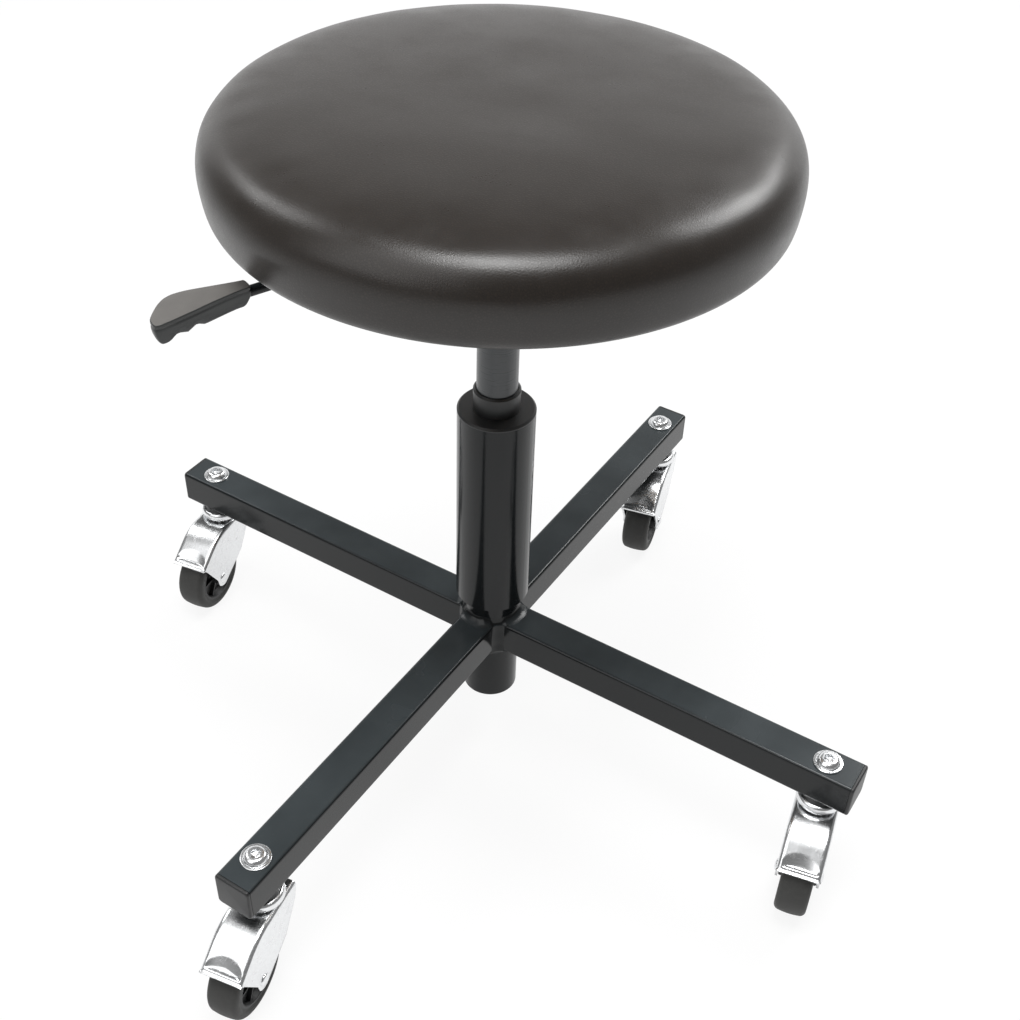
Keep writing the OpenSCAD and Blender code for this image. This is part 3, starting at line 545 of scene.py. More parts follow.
class Tree(Wire):
    """A Geometry Nodes group under construction, with named inputs."""

    def __init__(self, name, **inputs):
        group = bpy.data.node_groups.new(name, "GeometryNodeTree")
        super().__init__(group)
        group.interface.new_socket("Geometry", in_out="INPUT", socket_type="NodeSocketGeometry")
        for key, kind in inputs.items():
            group.interface.new_socket(key, in_out="INPUT", socket_type="NodeSocket" + kind)
        group.interface.new_socket("Geometry", in_out="OUTPUT", socket_type="NodeSocketGeometry")
        source = group.nodes.new("NodeGroupInput")
        self.given = {socket.name: Wire(group, socket) for socket in source.outputs if socket.name}

    def finish(self, instances):
        """Realizes the copies, sets their material and ends the group."""
        real = self.node("GeometryNodeRealizeInstances", None, {0: instances})
        material = self.given["Material"]
        shaded = self.node("GeometryNodeSetMaterial", None, {"Geometry": real, "Material": material})
        self.node("NodeGroupOutput", None, {0: shaded})
        return self.tree


def ring_tree():
    """Copies of the incoming mesh on a circle about the Z axis, each turned to face outwards."""
    if "Ring of copies" in bpy.data.node_groups:
        return bpy.data.node_groups["Ring of copies"]
    tree = Tree("Ring of copies", Count="Int", Radius="Float", Material="Material")
    given = tree.given
    points = tree.node("GeometryNodeMeshCircle", None, {"Vertices": given["Count"], "Radius": given["Radius"]})
    step = tree.math("DIVIDE", 2.0 * math.pi, given["Count"])
    turned = tree.node("ShaderNodeCombineXYZ", None, {"Z": tree.node("GeometryNodeInputIndex") * step})
    return tree.finish(tree.node("GeometryNodeInstanceOnPoints", None, {
        "Points": points, "Instance": given["Geometry"], "Rotation": turned}))


def ring(obj, finish, count, radius):
    """Repeats an object's mesh in a circle about its Z axis, as a plain mesh."""
    tree = ring_tree()
    nodes = change(obj, "NODES", node_group=tree)
    values = {"Count": count, "Radius": radius, "Material": finish_of(finish)}
    for item in tree.interface.items_tree:
        if item.in_out == "INPUT" and item.name in values:
            nodes[item.identifier] = values[item.name]
    applied(obj)
    smoothed(obj.data, 40.0)
    return obj


def points_of(node, place=Matrix()):
    """A CAD node's points, as seen from a place."""
    inward = place.inverted()
    return [inward @ v.co for v in frame["nodes"][node].data.vertices]


class Caster:
    """A caster's place and sizes. Seen from its place, its swivel axis is Z, its wheel lies towards +X and the
    floor is at height 0."""

    def __init__(self, side):
        swivel, axle = [Vector(JOINTS[joint + side]["pos_m"]) for joint in ("caster_swivel_", "wheel_roll_")]
        heading = math.atan2(axle.y - swivel.y, axle.x - swivel.x)
        self.place = Matrix.Translation((swivel.x, swivel.y, 0.0)) @ Matrix.Rotation(heading, 4, "Z")
        self.trail = (axle - swivel).xy.length
        self.wheel_r = axle.z
        hood = points_of("caster_hood_" + side, self.place)
        self.back, self.front = min(p.x for p in hood), max(p.x for p in hood)
        self.half = (max(p.y for p in hood) - min(p.y for p in hood)) / 2.0
        self.top = max(p.z for p in hood)


class SEAT_OT_materials(Operator):
    """Gives every CAD node the finish of its material slot"""
    bl_idname = "seat.materials"
    bl_label = "Materials"

    def execute(self, context):
        for part in frame["record"]["subparts"]:
            node = frame["nodes"][part["node"]]
            node.data.materials.clear()
            node.data.materials.append(finish_of(part["material_slot"]))
        return {"FINISHED"}


def cushion_shell(sizes, low, high, foot_r):
    """The closed shell before it is filled, a little smaller than the finished cushion."""
    back = sizes.held_back
    edge_z = high.z - sizes.crown
    rim = arc((high.x - sizes.edge, edge_z - sizes.edge), sizes.edge - back, 84, 0, 11)
    steps = round(rim[0][0] / sizes.spacing)
    shares = [i / steps for i in range(1, steps)]
    crown = [(s * rim[0][0], high.z - back - sizes.crown * s ** 4) for s in shares]
    foot = arc((foot_r, low.z + sizes.foot_edge), sizes.foot_edge - back, 0, -90, 7)
    side = [(rim[-1][0] + (foot[0][0] - rim[-1][0]) * i / 4, rim[-1][1] + (foot[0][1] - rim[-1][1]) * i / 4)
            for i in range(1, 4)]
    floor = [(foot_r * (1.0 - s), foot[-1][1]) for s in shares]
    bm = bmesh.new()
    turn(bm, crown + rim + side + foot + floor, round(2.0 * math.pi * high.x / sizes.spacing / 8) * 8)
    bmesh.ops.holes_fill(bm, edges=[e for e in bm.edges if e.is_boundary], sides=0)
    bmesh.ops.triangulate(bm, faces=[f for f in bm.faces if len(f.verts) > 4])
    return bm


def fill_cushion(scene, shell, sizes, held_below):
    """Fills the shell by a cloth simulation, with its foot held and its movement limited."""
    mesh = shell.data
    start = [v.co.copy() for v in mesh.vertices]
    held = shell.vertex_groups.new(name="held")
    held.add([v.index for v in mesh.vertices if v.co.z < held_below], 1.0, "REPLACE")
    cloth = change(shell, "CLOTH")
    cloth.settings.use_pressure = True
    cloth.settings.uniform_pressure_force = sizes.pressure
    cloth.settings.effector_weights.gravity = 0.0
    cloth.settings.vertex_group_mass = held.name
    cloth.point_cache.frame_start = 1
    cloth.point_cache.frame_end = sizes.frames
    for frame_number in range(1, sizes.frames + 1):
        scene.frame_set(frame_number)
    filled = shell.evaluated_get(bpy.context.evaluated_depsgraph_get())
    moved = [v.co.copy() for v in filled.data.vertices]
    shell.modifiers.clear()
    shell.vertex_groups.clear()
    scene.frame_set(1)
    for vertex, old, new in zip(mesh.vertices, start, moved):
        step = new - old
        reach = step.length
        vertex.co = old + step * (min(1.0, sizes.swell / reach) if reach > 0.0 else 0.0)


def settle_cushion(shell, sizes, low, high, foot_r):
    """Brings the filled cushion to its outline, with a soft unevenness and the pleats under it."""
    vertices = shell.data.vertices
    lowest, highest = min(v.co.z for v in vertices), max(v.co.z for v in vertices)
    spare = 0.3 * sizes.unevenness
    wide = (high.x - spare) / max(v.co.xy.length for v in vertices)
    tall = (high.z - spare - low.z) / (highest - lowest)
    for vertex in vertices:
        x, y, rise = vertex.co.x * wide, vertex.co.y * wide, (vertex.co.z - lowest) * tall
        z = low.z + rise
        r = math.hypot(x, y)
        outward = Vector((x / r, y / r, 0.0)) if r > 0.0 else Vector()
        wave = noise.noise(Vector((x, y, z)) / sizes.unevenness_size)
        side = smoothstep((r - 0.8 * foot_r) / (0.25 * foot_r))
        above = smoothstep(rise / (2.0 * sizes.foot_edge))
        uneven = (outward * side + Vector((0.0, 0.0, 1.0 - 0.7 * side))) * wave * sizes.unevenness * above
        wander = 3.0 * noise.noise(Vector((x, y, 0.0)) / sizes.edge)
        pull = 0.5 + 0.5 * math.cos(math.atan2(y, x) * sizes.pleats + wander)
        under = smoothstep((r - 0.82 * foot_r) / (0.08 * foot_r))
        under *= 1.0 - smoothstep(rise / (0.25 * sizes.foot_edge))
        vertex.co = Vector((x, y, z + pull ** 3 * sizes.pleat_depth * under * 0.5)) + uneven
        vertex.co.z = min(vertex.co.z, high.z)
        vertex.co.xy *= min(1.0, high.x / max(vertex.co.xy.length, MM))


def board_room(sizes, low):
    """The room that the board, the tee nuts and the open middle take out of the cushion."""
    board_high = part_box("seat_board")[1]
    board_r, board_top = board_high.x + sizes.room, board_high.z + sizes.room
    nuts_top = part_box("tee_nuts")[1].z + sizes.room
    cover_top = low.z + sizes.cover
    below = low.z - 0.01
    turned_r = turned_cover_r()
    outline = [(0.0, below), (turned_r, below), (turned_r, cover_top), (board_r, cover_top),
               (board_r, board_top), (0.82 * board_r, board_top), (0.8 * board_r, nuts_top), (0.0, nuts_top)]
    bm = bmesh.new()
    turn(bm, outline, 128)
    return bm


def turned_cover_r():
    """Radius at which the turned cover ends, from the CAD cover's own inner edge."""
    points = points_of("vinyl_cover")
    lowest = min(p.z for p in points)
    return min(p.xy.length for p in points if p.z < lowest + 0.1 * MM)


class SEAT_OT_cushion(Operator):
    """Builds the padded seat: a crowned round cushion that is filled, then turned under its board"""
    bl_idname = "seat.cushion"
    bl_label = "Cushion"

    def execute(self, context):
        sizes = context.scene.cushion_sizes
        low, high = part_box("vinyl_cover")
        foot_r = high.x - sizes.tuck - sizes.foot_edge
        shell = mesh_object("seat_cushion", cushion_shell(sizes, low, high, foot_r))
        fill_cushion(context.scene, shell, sizes, low.z + sizes.foot_edge * 0.5)
        change(shell, "SMOOTH", iterations=12)
        change(shell, "SUBSURF", levels=1, render_levels=1)
        applied(shell)
        settle_cushion(shell, sizes, low, high, foot_r)
        cut(shell, mesh_object("board_room", board_room(sizes, low)))
        smoothed(shell.data, 50.0)
        finish_piece(shell, "seat", "vinyl", "vinyl", "vinyl_cover", "foam_pad")
        return {"FINISHED"}


# The lip's section, out and down, as shares of its reach
LIP_SHARES = [(0.08, -0.12), (0.16, -0.26), (0.28, -0.39), (0.44, -0.5), (0.62, -0.58), (0.8, -0.63),
              (1.0, -0.66)]
# The cheeks' rear edge, as shares of the hood's reach back and of its height over the axle
REAR_SHARES = [(1.0, 0.93), (0.85, 0.69), (-0.05, 0.2)]


def hood_sheet(caster, sizes):
    """The hood's outer skin, as rows of points across it from its back to its lip."""
    top, back = caster.top, caster.back
    reach = caster.front - sizes.lip
    bend = arc((sizes.flat, top - sizes.bend), sizes.bend, 90, 90 - math.degrees(sizes.slope), 14)
    flat = [(back + (sizes.flat - back) * i / 40, top) for i in range(40)]
    end_x, end_z = bend[-1]
    low_z = end_z - (reach - end_x) * math.tan(sizes.slope)
    fall = [(end_x + (reach - end_x) * i / 22, end_z + (low_z - end_z) * i / 22) for i in range(1, 22)]
    lip = [(reach + sizes.lip * x, low_z + sizes.lip * z) for x, z in LIP_SHARES]
    foot = cheek_foot(caster, sizes, reach, low_z)
    bm = bmesh.new()
    grid(bm, [[caster.place @ point for point in across_hood(sizes, x, z, caster.half, foot, reach)]
              for x, z in flat + bend + fall + lip])
    return bm


def cheek_foot(caster, sizes, reach, low_z):
    """The lower edge of the cheeks: down the back, round the ear under the axle and up to the lip."""
    trail, wheel_r = caster.trail, caster.wheel_r
    rise = caster.top - wheel_r
    rear = [(caster.back * x, wheel_r + rise * z) for x, z in REAR_SHARES]
    ear = arc((trail, wheel_r), sizes.ear, 233, 352, 14)
    return rear + ear + [(trail + sizes.ear, wheel_r + sizes.ear * 0.3), (reach, low_z - 2.0 * sizes.wall)]


def across_hood(sizes, x, z, half, foot, reach):
    """Points across the hood at one place on its path, from one cheek's foot to the other's."""
    roof_half = half - sizes.edge
    edge = sizes.edge * (1.0 - 0.8 * smoothstep((x - reach) / (0.6 * sizes.lip)))
    drop_z = z - edge
    if x <= reach:
        edge = min(edge, z - between(foot, x))
        drop_z = min(z - edge, between(foot, x))
    roof = [roof_half * i / 14 for i in range(15)]
    profile = [(y, z + pressed_down(sizes, x, y, half, reach)) for y in roof]
    corner = [(roof_half + sizes.edge * math.sin(t), z - edge * (1.0 - math.cos(t)))
              for t in [math.pi * k / 14 for k in range(1, 8)]]
    drop = [(half, z - edge + (drop_z - z + edge) * i / 12) for i in range(1, 13)]
    right = profile + corner + drop
    left = [(-y, height) for y, height in reversed(right[1:])]
    return [Vector((x, y, height)) for y, height in left + right]


def pressed_down(sizes, x, y, half, reach):
    """How far the roof is pressed down for the balls' groove and inside the arch."""
    groove = max(0.0, 1.0 - abs(math.hypot(x, y) - sizes.race_r) / sizes.race_half)
    share = min(1.0, abs(y) / (0.9 * half))
    arch_top = sizes.arch * math.sqrt(1.0 - share * share)
    above_lip = (reach - x) / math.cos(sizes.slope)
    steeper = min(1.0, max(0.0, arch_top - above_lip) / (0.55 * sizes.arch))
    flare = smoothstep((above_lip + 0.6 * MM) / (0.38 * sizes.arch))
    return -sizes.race_depth * smoothstep(groove) - sizes.arch_depth * steeper * flare


class SEAT_OT_hoods(Operator):
    """Builds the four pressed caster hoods, with a bent roof, a pressed arch and a flared lip"""
    bl_idname = "seat.hoods"
    bl_label = "Caster hoods"

    def execute(self, context):
        sizes = context.scene.caster_sizes
        for side in SIDES:
            caster = Caster(side)
            hood = mesh_object("hood_" + side, hood_sheet(caster, sizes))
            change(hood, "SOLIDIFY", thickness=sizes.wall, offset=-1.0)
            applied(hood)
            deep = 5 * sizes.wall
            place = caster.place @ Matrix.Translation((0.0, 0.0, caster.top - deep / 2.0))
            bm = bmesh.new()
            turn(bm, [(0.0, 0.0), (sizes.hole, 0.0), (sizes.hole, deep), (0.0, deep)], 48, place)
            cut(hood, mesh_object("bolt_hole", bm))
            change(hood, "BEVEL", width=sizes.rim, segments=2, angle_limit=math.radians(50.0))
            applied(hood)
            smoothed(hood.data, 48.0)
            finish_piece(hood, "caster_" + side, "bright_zinc", "bright_zinc", "caster_hood_" + side)
        return {"FINISHED"}


def make_tyre(side, sizes, place, wheel_r, core_r, half):
    """A tyre with a crowned tread and rounded shoulders."""
    edge = sizes.shoulder
    low = wheel_r - sizes.tread_crown
    tread = [(low + sizes.tread_crown * (1.0 - s * s), (edge - half) * s) for s in
             [1.0 - i / 5 for i in range(11)]]
    shoulder = arc((low - edge, half - edge), edge, 0, 90, 8)[1:]
    step = half - sizes.bead_step
    wall = [(core_r + sizes.bead, half), (core_r + 0.75 * sizes.bead, step), (core_r, step)]
    bm = bmesh.new()
    turn(bm, mirrored(shoulder + wall) + tread + shoulder + wall, 112, place, looped=True)
    finish_piece(mesh_object("tyre_" + side, bm, 60.0), "wheel_" + side, "tyre", "tyre", "wheel_tyre_" + side)


def make_core(side, sizes, place, core_r, half, boss_half, bore):
    """A turned wheel core with a web, a boss and ribs on both sides."""
    boss_r = 2.0 * bore
    web = 0.5 * half
    rim_r = core_r - sizes.core_rim
    bevel = sizes.core_bevel
    outline = [(bore, boss_half - bevel), (bore + bevel, boss_half), (boss_r - bevel, boss_half),
               (boss_r, boss_half - bevel), (boss_r + 0.4 * MM, web + 0.8 * MM),
               (boss_r + 1.2 * MM, web), (rim_r - 1.0 * MM, web), (rim_r, web + 1.0 * MM),
               (rim_r + 0.5 * bevel, half - 2.0 * bevel), (rim_r + 1.5 * bevel, half - bevel),
               (core_r, half - bevel)]
    bm = bmesh.new()
    turn(bm, outline + mirrored(outline), 72, looped=True)
    rib = bmesh.new()
    long = rim_r - boss_r + 1.2 * MM
    tall = 0.55 * (half - web)
    for level in (-1.0, 1.0):
        for v in bmesh.ops.create_cube(rib, size=1.0)["verts"]:
            tapered = 0.6 if v.co.z * level > 0.0 else 1.0
            v.co = Vector((v.co.x * long, v.co.y * sizes.rib * tapered,
                           v.co.z * tall + level * (web + 0.5 * tall)))
    ribs = ring(mesh_object("ribs", rib), "wheel_plastic", sizes.ribs, (boss_r + rim_r) / 2.0)
    bm.from_mesh(ribs.data)
    bpy.data.objects.remove(ribs)
    bmesh.ops.transform(bm, matrix=place, verts=bm.verts)
    core = mesh_object("wheel_core_of_" + side, bm)
    finish_piece(core, "wheel_" + side, "wheel_plastic", "wheel_plastic", "wheel_core_" + side)


def make_axle(side, sizes, place, half, r):
    """An axle with a domed head outside each cheek of the hood."""
    head = sizes.rivet_r
    dome = [(0.0, half + 1.7 * MM), (0.5 * head, half + 1.5 * MM), (0.85 * head, half + 0.9 * MM),
            (head, half + 0.3 * MM), (head, half), (r, half)]
    bm = bmesh.new()
    turn(bm, dome + mirrored(dome), 40, place)
    axle = mesh_object("axle_" + side, bm, 55.0)
    finish_piece(axle, "caster_" + side, "plain_steel", "bright_zinc", "caster_axle_" + side)


class SEAT_OT_wheels(Operator):
    """Builds the tyres, the ribbed wheel cores and the riveted axles"""
    bl_idname = "seat.wheels"
    bl_label = "Wheels"

    def execute(self, context):
        sizes = context.scene.caster_sizes
        for side in SIDES:
            caster = Caster(side)
            upright = Matrix.Translation((caster.trail, 0.0, caster.wheel_r)) @ Matrix.Rotation(math.pi / 2.0, 4, "X")
            place = caster.place @ upright
            tyre = points_of("wheel_tyre_" + side, place)
            tyre_half, core_r = max(p.z for p in tyre), min(p.xy.length for p in tyre)
            core = points_of("wheel_core_" + side, place)
            boss_half, bore = max(p.z for p in core), min(p.xy.length for p in core)
            make_tyre(side, sizes, place, caster.wheel_r, core_r, tyre_half)
            make_core(side, sizes, place, core_r, tyre_half, boss_half, bore)
            make_axle(side, sizes, place, caster.half, bore - sizes.axle_play)
        return {"FINISHED"}


def repeat(name, bm, body, slot, count, radius, node):
    """Makes a ring of copies of a mesh, which stands for one CAD node."""
    finish_piece(ring(mesh_object(name, bm), slot, count, radius), body, slot, slot, node)


def make_bolts(sizes, circle, arm_top):
    """A flanged and domed head with a hexagonal socket, and the shank under it."""
    low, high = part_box("caster_bolts")
    head_r = high.x - circle
    dome_r, top_r = 0.80 * head_r, 0.46 * head_r
    flange, tall, shank = sizes.bolt_flange, high.z - arm_top, sizes.bolt_r
    dome = [(dome_r + (top_r - dome_r) * t ** 1.5, flange + (tall - flange) * math.sin(t * math.pi / 2.0))
            for t in [i / 7 for i in range(8)]]
    rim = [(head_r - sizes.bolt_bevel, 0.0), (head_r, sizes.bolt_bevel)]
    rim += arc((head_r - sizes.bolt_edge, flange - sizes.bolt_edge), sizes.bolt_edge, 0, 90, 4)
    outline = [(0.0, low.z - arm_top), (shank, low.z - arm_top), (shank, 0.0)] + rim + dome
    bm = bmesh.new()
    turn(bm, outline, 48)
    angles = round_angles(48)
    across = sizes.socket / 2.0
    hexagon = [across / math.cos((a + math.pi / 6.0) % (math.pi / 3.0) - math.pi / 6.0) for a in angles]
    floor = tall - sizes.socket_depth
    levels = [(1.06, tall), (1.0, tall - sizes.socket_bevel), (1.0, floor), (0.3, floor - sizes.socket_cone)]
    loops = [([top_r] * 48, tall)] + [([scale * r for r in hexagon], height) for scale, height in levels]
    grid(bm, [[Vector((r * math.cos(a), r * math.sin(a), height)) for r, a in zip(radii, angles)]
              for radii, height in loops], closed=True)
    bottom = [e for e in bm.edges if e.is_boundary and max(v.co.xy.length for v in e.verts) < 0.5 * across]
    bmesh.ops.contextual_create(bm, geom=bottom)
    bmesh.ops.translate(bm, vec=(0.0, 0.0, arm_top), verts=bm.verts)
    repeat("flange_bolts", bm, "base", "bright_zinc", len(SIDES), circle, "caster_bolts")


def make_cups(casters, circle):
    """A dished cup over the swivel's balls."""
    low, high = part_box("swivel_cups")
    r = high.x - circle
    edge, skirt_r = casters.cup_edge, casters.cup_skirt
    skirt = arc((r - skirt_r, low.z + skirt_r), skirt_r, -90, 0, 4)
    dish = arc((r - 0.4 * MM - edge, high.z - edge), edge, 0, 90, 7)
    outline = [(casters.hole, low.z)] + skirt + [(r - 0.2 * MM, low.z + 2.0 * MM)] + dish
    bm = bmesh.new()
    turn(bm, outline + [(casters.hole, high.z)], 64, looped=True)
    repeat("cups", bm, "base", "bright_zinc", len(SIDES), circle, "swivel_cups")


def make_plugs(sizes, arm_end, middle_z):
    """A square plug with a rounded head outside the arm and a body inside it."""
    low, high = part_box("arm_end_plugs")
    half = (high.z - low.z) / 2.0
    inner = half - sizes.arm_wall
    edge, bevel = sizes.plug_edge, sizes.plug_bevel
    layers = [(-sizes.plug_body, inner - sizes.plug_fall), (-sizes.plug_body + sizes.plug_taper, inner),
              (0.0, inner), (0.0, half - bevel), (bevel, half)]
    layers += [(sizes.plug_head - edge + z, half - edge + r) for r, z in arc((0.0, 0.0), edge, 0, 90, 6)]
    rows = []
    for out, reach in layers:
        corner = min(sizes.plug_corner, reach * 0.5)
        quarter = arc((reach - corner, reach - corner), corner, 0, 90, 6)
        rows.append([Matrix.Rotation(k * math.pi / 2.0, 3, "X") @ Vector((out, y, z))
                     for k in range(4) for y, z in quarter])
    bm = bmesh.new()
    cap(bm, grid(bm, rows, closed=True))
    bmesh.ops.translate(bm, vec=(0.0, 0.0, middle_z), verts=bm.verts)
    repeat("end_plugs", bm, "base", "black_plastic", len(SIDES), arm_end, "arm_end_plugs")


def make_staples(sizes):
    """A bent wire with two legs in the board."""
    low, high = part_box("cover_staples")
    wire, half, bend = sizes.staple_wire / 2.0, sizes.staple / 2.0, sizes.staple_bend
    solid = points_of("cover_staples")
    ring_r = sum(p.xy.length for p in solid) / len(solid)
    path = [(-half + wire, high.z)] + arc((-half + wire + bend, low.z + wire + bend), bend, 180, 270, 4)
    path += [(-y, z) for y, z in reversed(path)]
    rows = []
    for before, (y, z), after in zip(path[:1] + path, path, path[1:] + path[-1:]):
        along = (Vector(after) - Vector(before)).normalized()
        rows.append([Vector((wire * math.cos(a), y - wire * math.sin(a) * along.y,
                             z + wire * math.sin(a) * along.x)) for a in round_angles(8)])
    bm = bmesh.new()
    cap(bm, grid(bm, rows, closed=True))
    repeat("staples", bm, "seat", "bright_zinc", sizes.staples, ring_r, "cover_staples")


class SEAT_OT_fasteners(Operator):
    """Builds the caster bolts, the swivel cups, the end plugs and the staples as rings of copies"""
    bl_idname = "seat.fasteners"
    bl_label = "Fasteners and plugs"

    def execute(self, context):
        steel, casters = context.scene.steel_sizes, context.scene.caster_sizes
        circle = Vector(JOINTS["caster_swivel_" + SIDES[0]]["pos_m"]).xy.length
        arm_low, arm_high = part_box("base_arm_" + SIDES[0])
        make_bolts(steel, circle, arm_high.z)
        make_cups(casters, circle)
        make_plugs(steel, arm_high.x, (arm_low.z + arm_high.z) / 2.0)
        make_staples(steel)
        return {"FINISHED"}


def weld_reach(sizes, angle, hub_r, half):
    """How far a fillet may run out from the hub at an angle, so that it ends on an arm or a corner."""
    off = abs((angle + math.pi / 4.0) % (math.pi / 2.0) - math.pi / 4.0)
    side = half / math.sin(off) - hub_r - sizes.weld_margin if off > 0.1 else sizes.weld
    return max(0.28 * sizes.weld, min(sizes.weld, side))


def fillet_outline(sunk, u, v, leg_u, leg_v):
    """A hollow fillet's closed outline in the corner at (u, v)."""
    hollow, flat = 0.62, 0.38
    face = []
    for i in range(11):
        t = math.pi / 2.0 * i / 10
        face.append((u + leg_u * (hollow * (1.0 - math.sin(t)) + flat * (1.0 - i / 10)),
                     v + leg_v * (hollow * (1.0 - math.cos(t)) + flat * i / 10)))
    return [(u - sunk, v - sunk), (u + leg_u, v - sunk)] + face + [(u - sunk, v + leg_v)]


class SEAT_OT_welds(Operator):
    """Lays smooth weld fillets where the arms meet the hub and one another"""
    bl_idname = "seat.welds"
    bl_label = "Welds"

    def execute(self, context):
        sizes = context.scene.steel_sizes
        weld, sunk = sizes.weld, sizes.weld_sunk
        hub_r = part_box("base_hub")[1].x
        arm_low, arm_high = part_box("base_arm_" + SIDES[0])
        half = (arm_high.y - arm_low.y) / 2.0
        bm = bmesh.new()
        for height, way in ((arm_high.z, 1.0), (arm_low.z, -1.0)):
            rows = []
            for a in round_angles(200):
                uneven = 1.0 + 0.35 * noise.noise(Vector((2.0 * math.cos(a), 2.0 * math.sin(a), 60.0 * height)))
                reach = weld_reach(sizes, a, hub_r, half) * uneven
                fillet = fillet_outline(sunk, hub_r, 0.0, reach, 0.8 * weld * uneven)
                rows.append([Vector((r * math.cos(a), r * math.sin(a), height + way * z)) for r, z in fillet])
            grid(bm, rows, closed=True, looped=True)
        for quarter in range(len(SIDES)):
            turned = Matrix.Rotation(quarter * math.pi / 2.0, 4, "Z")
            rows = []
            for i in range(25):
                z = arm_low.z + (arm_high.z - arm_low.z) * i / 24
                leg = weld * (1.0 + 0.3 * noise.noise(Vector((9.0 * quarter, 0.0, 90.0 * z))))
                rows.append([turned @ Vector((x, y, z)) for x, y in fillet_outline(sunk, half, half, leg, leg)])
            cap(bm, grid(bm, rows, closed=True))
        finish_piece(mesh_object("weld_metal", bm), "base", "black_paint", "black_paint", "weld_beads")
        return {"FINISHED"}


# Outline of the paddle seen from above, as shares of its length and its width
PADDLE_SHARES = [(0, 0.17), (0.12, 0.18), (0.53, 0.41), (0.93, 0.59), (0.99, 0.56), (1, 0.46), (0.99, 0.26),
                  (0.93, 0.06), (0.84, -0.18), (0.76, -0.33), (0.67, -0.4), (0.55, -0.39), (0.39, -0.31),
                  (0.04, -0.18), (0, -0.17)]
# Width of the CAD paddle as a share of the width that the outline's shares are of
PADDLE_SOLID_SHARE = 0.99
PADDLE_CUTTINGS = 3


def cut_corners(points):
    """A closed outline near the points, with its corners cut a few times over."""
    for _ in range(PADDLE_CUTTINGS):
        pairs = zip(points, points[1:] + points[:1])
        points = [p for a, b in pairs for p in (a * 0.8 + b * 0.2, a * 0.2 + b * 0.8)]
    return points


def paddle_layers(sizes, top, foot):
    """Inset and height of each layer of the paddle, from its top to its foot."""
    edge = sizes.top_edge
    rim = [(edge - x, top - edge + z) for x, z in arc((0.0, 0.0), edge, 90, 0, 5)]
    under = top - sizes.rim
    belly = [(0.0, under + 0.4 * MM), (sizes.groove, under + 0.1 * MM), (sizes.groove, under - 0.4 * MM),
             (0.15 * MM, under - 0.9 * MM), (-0.05 * MM, under - 1.8 * MM)]
    wall = belly[-1][1] - foot
    edge = sizes.foot_edge
    base = [(edge * (1.0 - math.cos(t)), foot + wall * (1.0 - math.sin(t)))
            for t in [math.pi * k / 20 for k in range(1, 11)]]
    return [(2.0 * edge, top)] + rim + belly + base + [(2.0 * edge, foot)]


def middle_of(outline, x):
    """Middle of the outline across the paddle at x."""
    found = [a.y + (b.y - a.y) * (x - a.x) / (b.x - a.x) for a, b in zip(outline, outline[1:] + outline[:1])
             if min(a.x, b.x) <= x <= max(a.x, b.x) and a.x != b.x]
    return (min(found) + max(found)) / 2.0 if found else 0.0


def drawn_in(outline, inset, half_long, half_wide):
    """The outline drawn in towards its middle line."""
    centre = sum(p.x for p in outline) / len(outline)
    made = []
    for p in outline:
        middle = middle_of(outline, p.x)
        made.append(Vector((centre + (p.x - centre) * (1.0 - inset / half_long),
                            middle + (p.y - middle) * (1.0 - inset / half_wide))))
    return made


def paddle_point(sizes, p, level, start, tip, top, foot):
    """A point of one layer, with the neck's fall and the finger grips applied."""
    share = (p.x - start) / (tip - start)
    deep = (top - level) / (top - foot)
    fall = sizes.neck * (1.0 - smoothstep(share / 0.5)) * (1.0 - deep)
    along = (tip - sizes.notch_from_tip + sizes.notch_space / 2.0 - p.x) / sizes.notch_space
    lift = sizes.notch_depth * (0.5 - 0.5 * math.cos(2.0 * math.pi * along)) if 0.0 < along < 2.0 else 0.0
    lift += sizes.tip_lift * smoothstep((share - 0.93) / 0.07)
    lift += sizes.heel_lift * (1.0 - smoothstep(share / 0.1))
    return Vector((p.x, p.y, level - fall + lift * smoothstep((deep - 0.4) / 0.5)))


class SEAT_OT_paddle(Operator):
    """Builds the lever's moulded paddle, with its rim, its finger grips and its rounded foot"""
    bl_idname = "seat.paddle"
    bl_label = "Lever paddle"

    def execute(self, context):
        sizes = context.scene.lever_sizes
        pivot = Vector(JOINTS["lever_lift"]["pos_m"])
        heading = math.atan2(pivot.y, pivot.x)
        place = Matrix.Translation((0.0, 0.0, pivot.z)) @ Matrix.Rotation(heading, 4, "Z")
        solid = points_of("lever_paddle", place)
        start, tip = min(p.x for p in solid), max(p.x for p in solid)
        wide = (max(p.y for p in solid) - min(p.y for p in solid)) / PADDLE_SOLID_SHARE
        top, foot = max(p.z for p in solid), min(p.z for p in solid)
        outline = cut_corners([Vector((start + x * (tip - start), y * wide)) for x, y in PADDLE_SHARES])
        rows = []
        for inset, level in paddle_layers(sizes, top, foot):
            drawn = drawn_in(outline, inset, (tip - start) / 2.0, wide / 2.0)
            rows.append([place @ paddle_point(sizes, p, level, start, tip, top, foot) for p in drawn])
        bm = bmesh.new()
        cap(bm, grid(bm, rows, closed=True))
        bmesh.ops.triangulate(bm, faces=[f for f in bm.faces if len(f.verts) > 4])
        finish_piece(mesh_object("paddle", bm, 50.0), "lever", "black_plastic", "paddle", "lever_paddle")
        return {"FINISHED"}


CAMERA_PLACE = Vector((371.0, -595.1, 801.2)) * MM
CAMERA_HEADING = math.radians(121.08)
CAMERA_PITCH = math.radians(-40.84)
CAMERA_ROLL = math.radians(2.03)
CAMERA_LENS = 49.36
CAMERA_SENSOR = 36.0
LIT_PLACE = Vector((0.0, 0.0, 0.35))
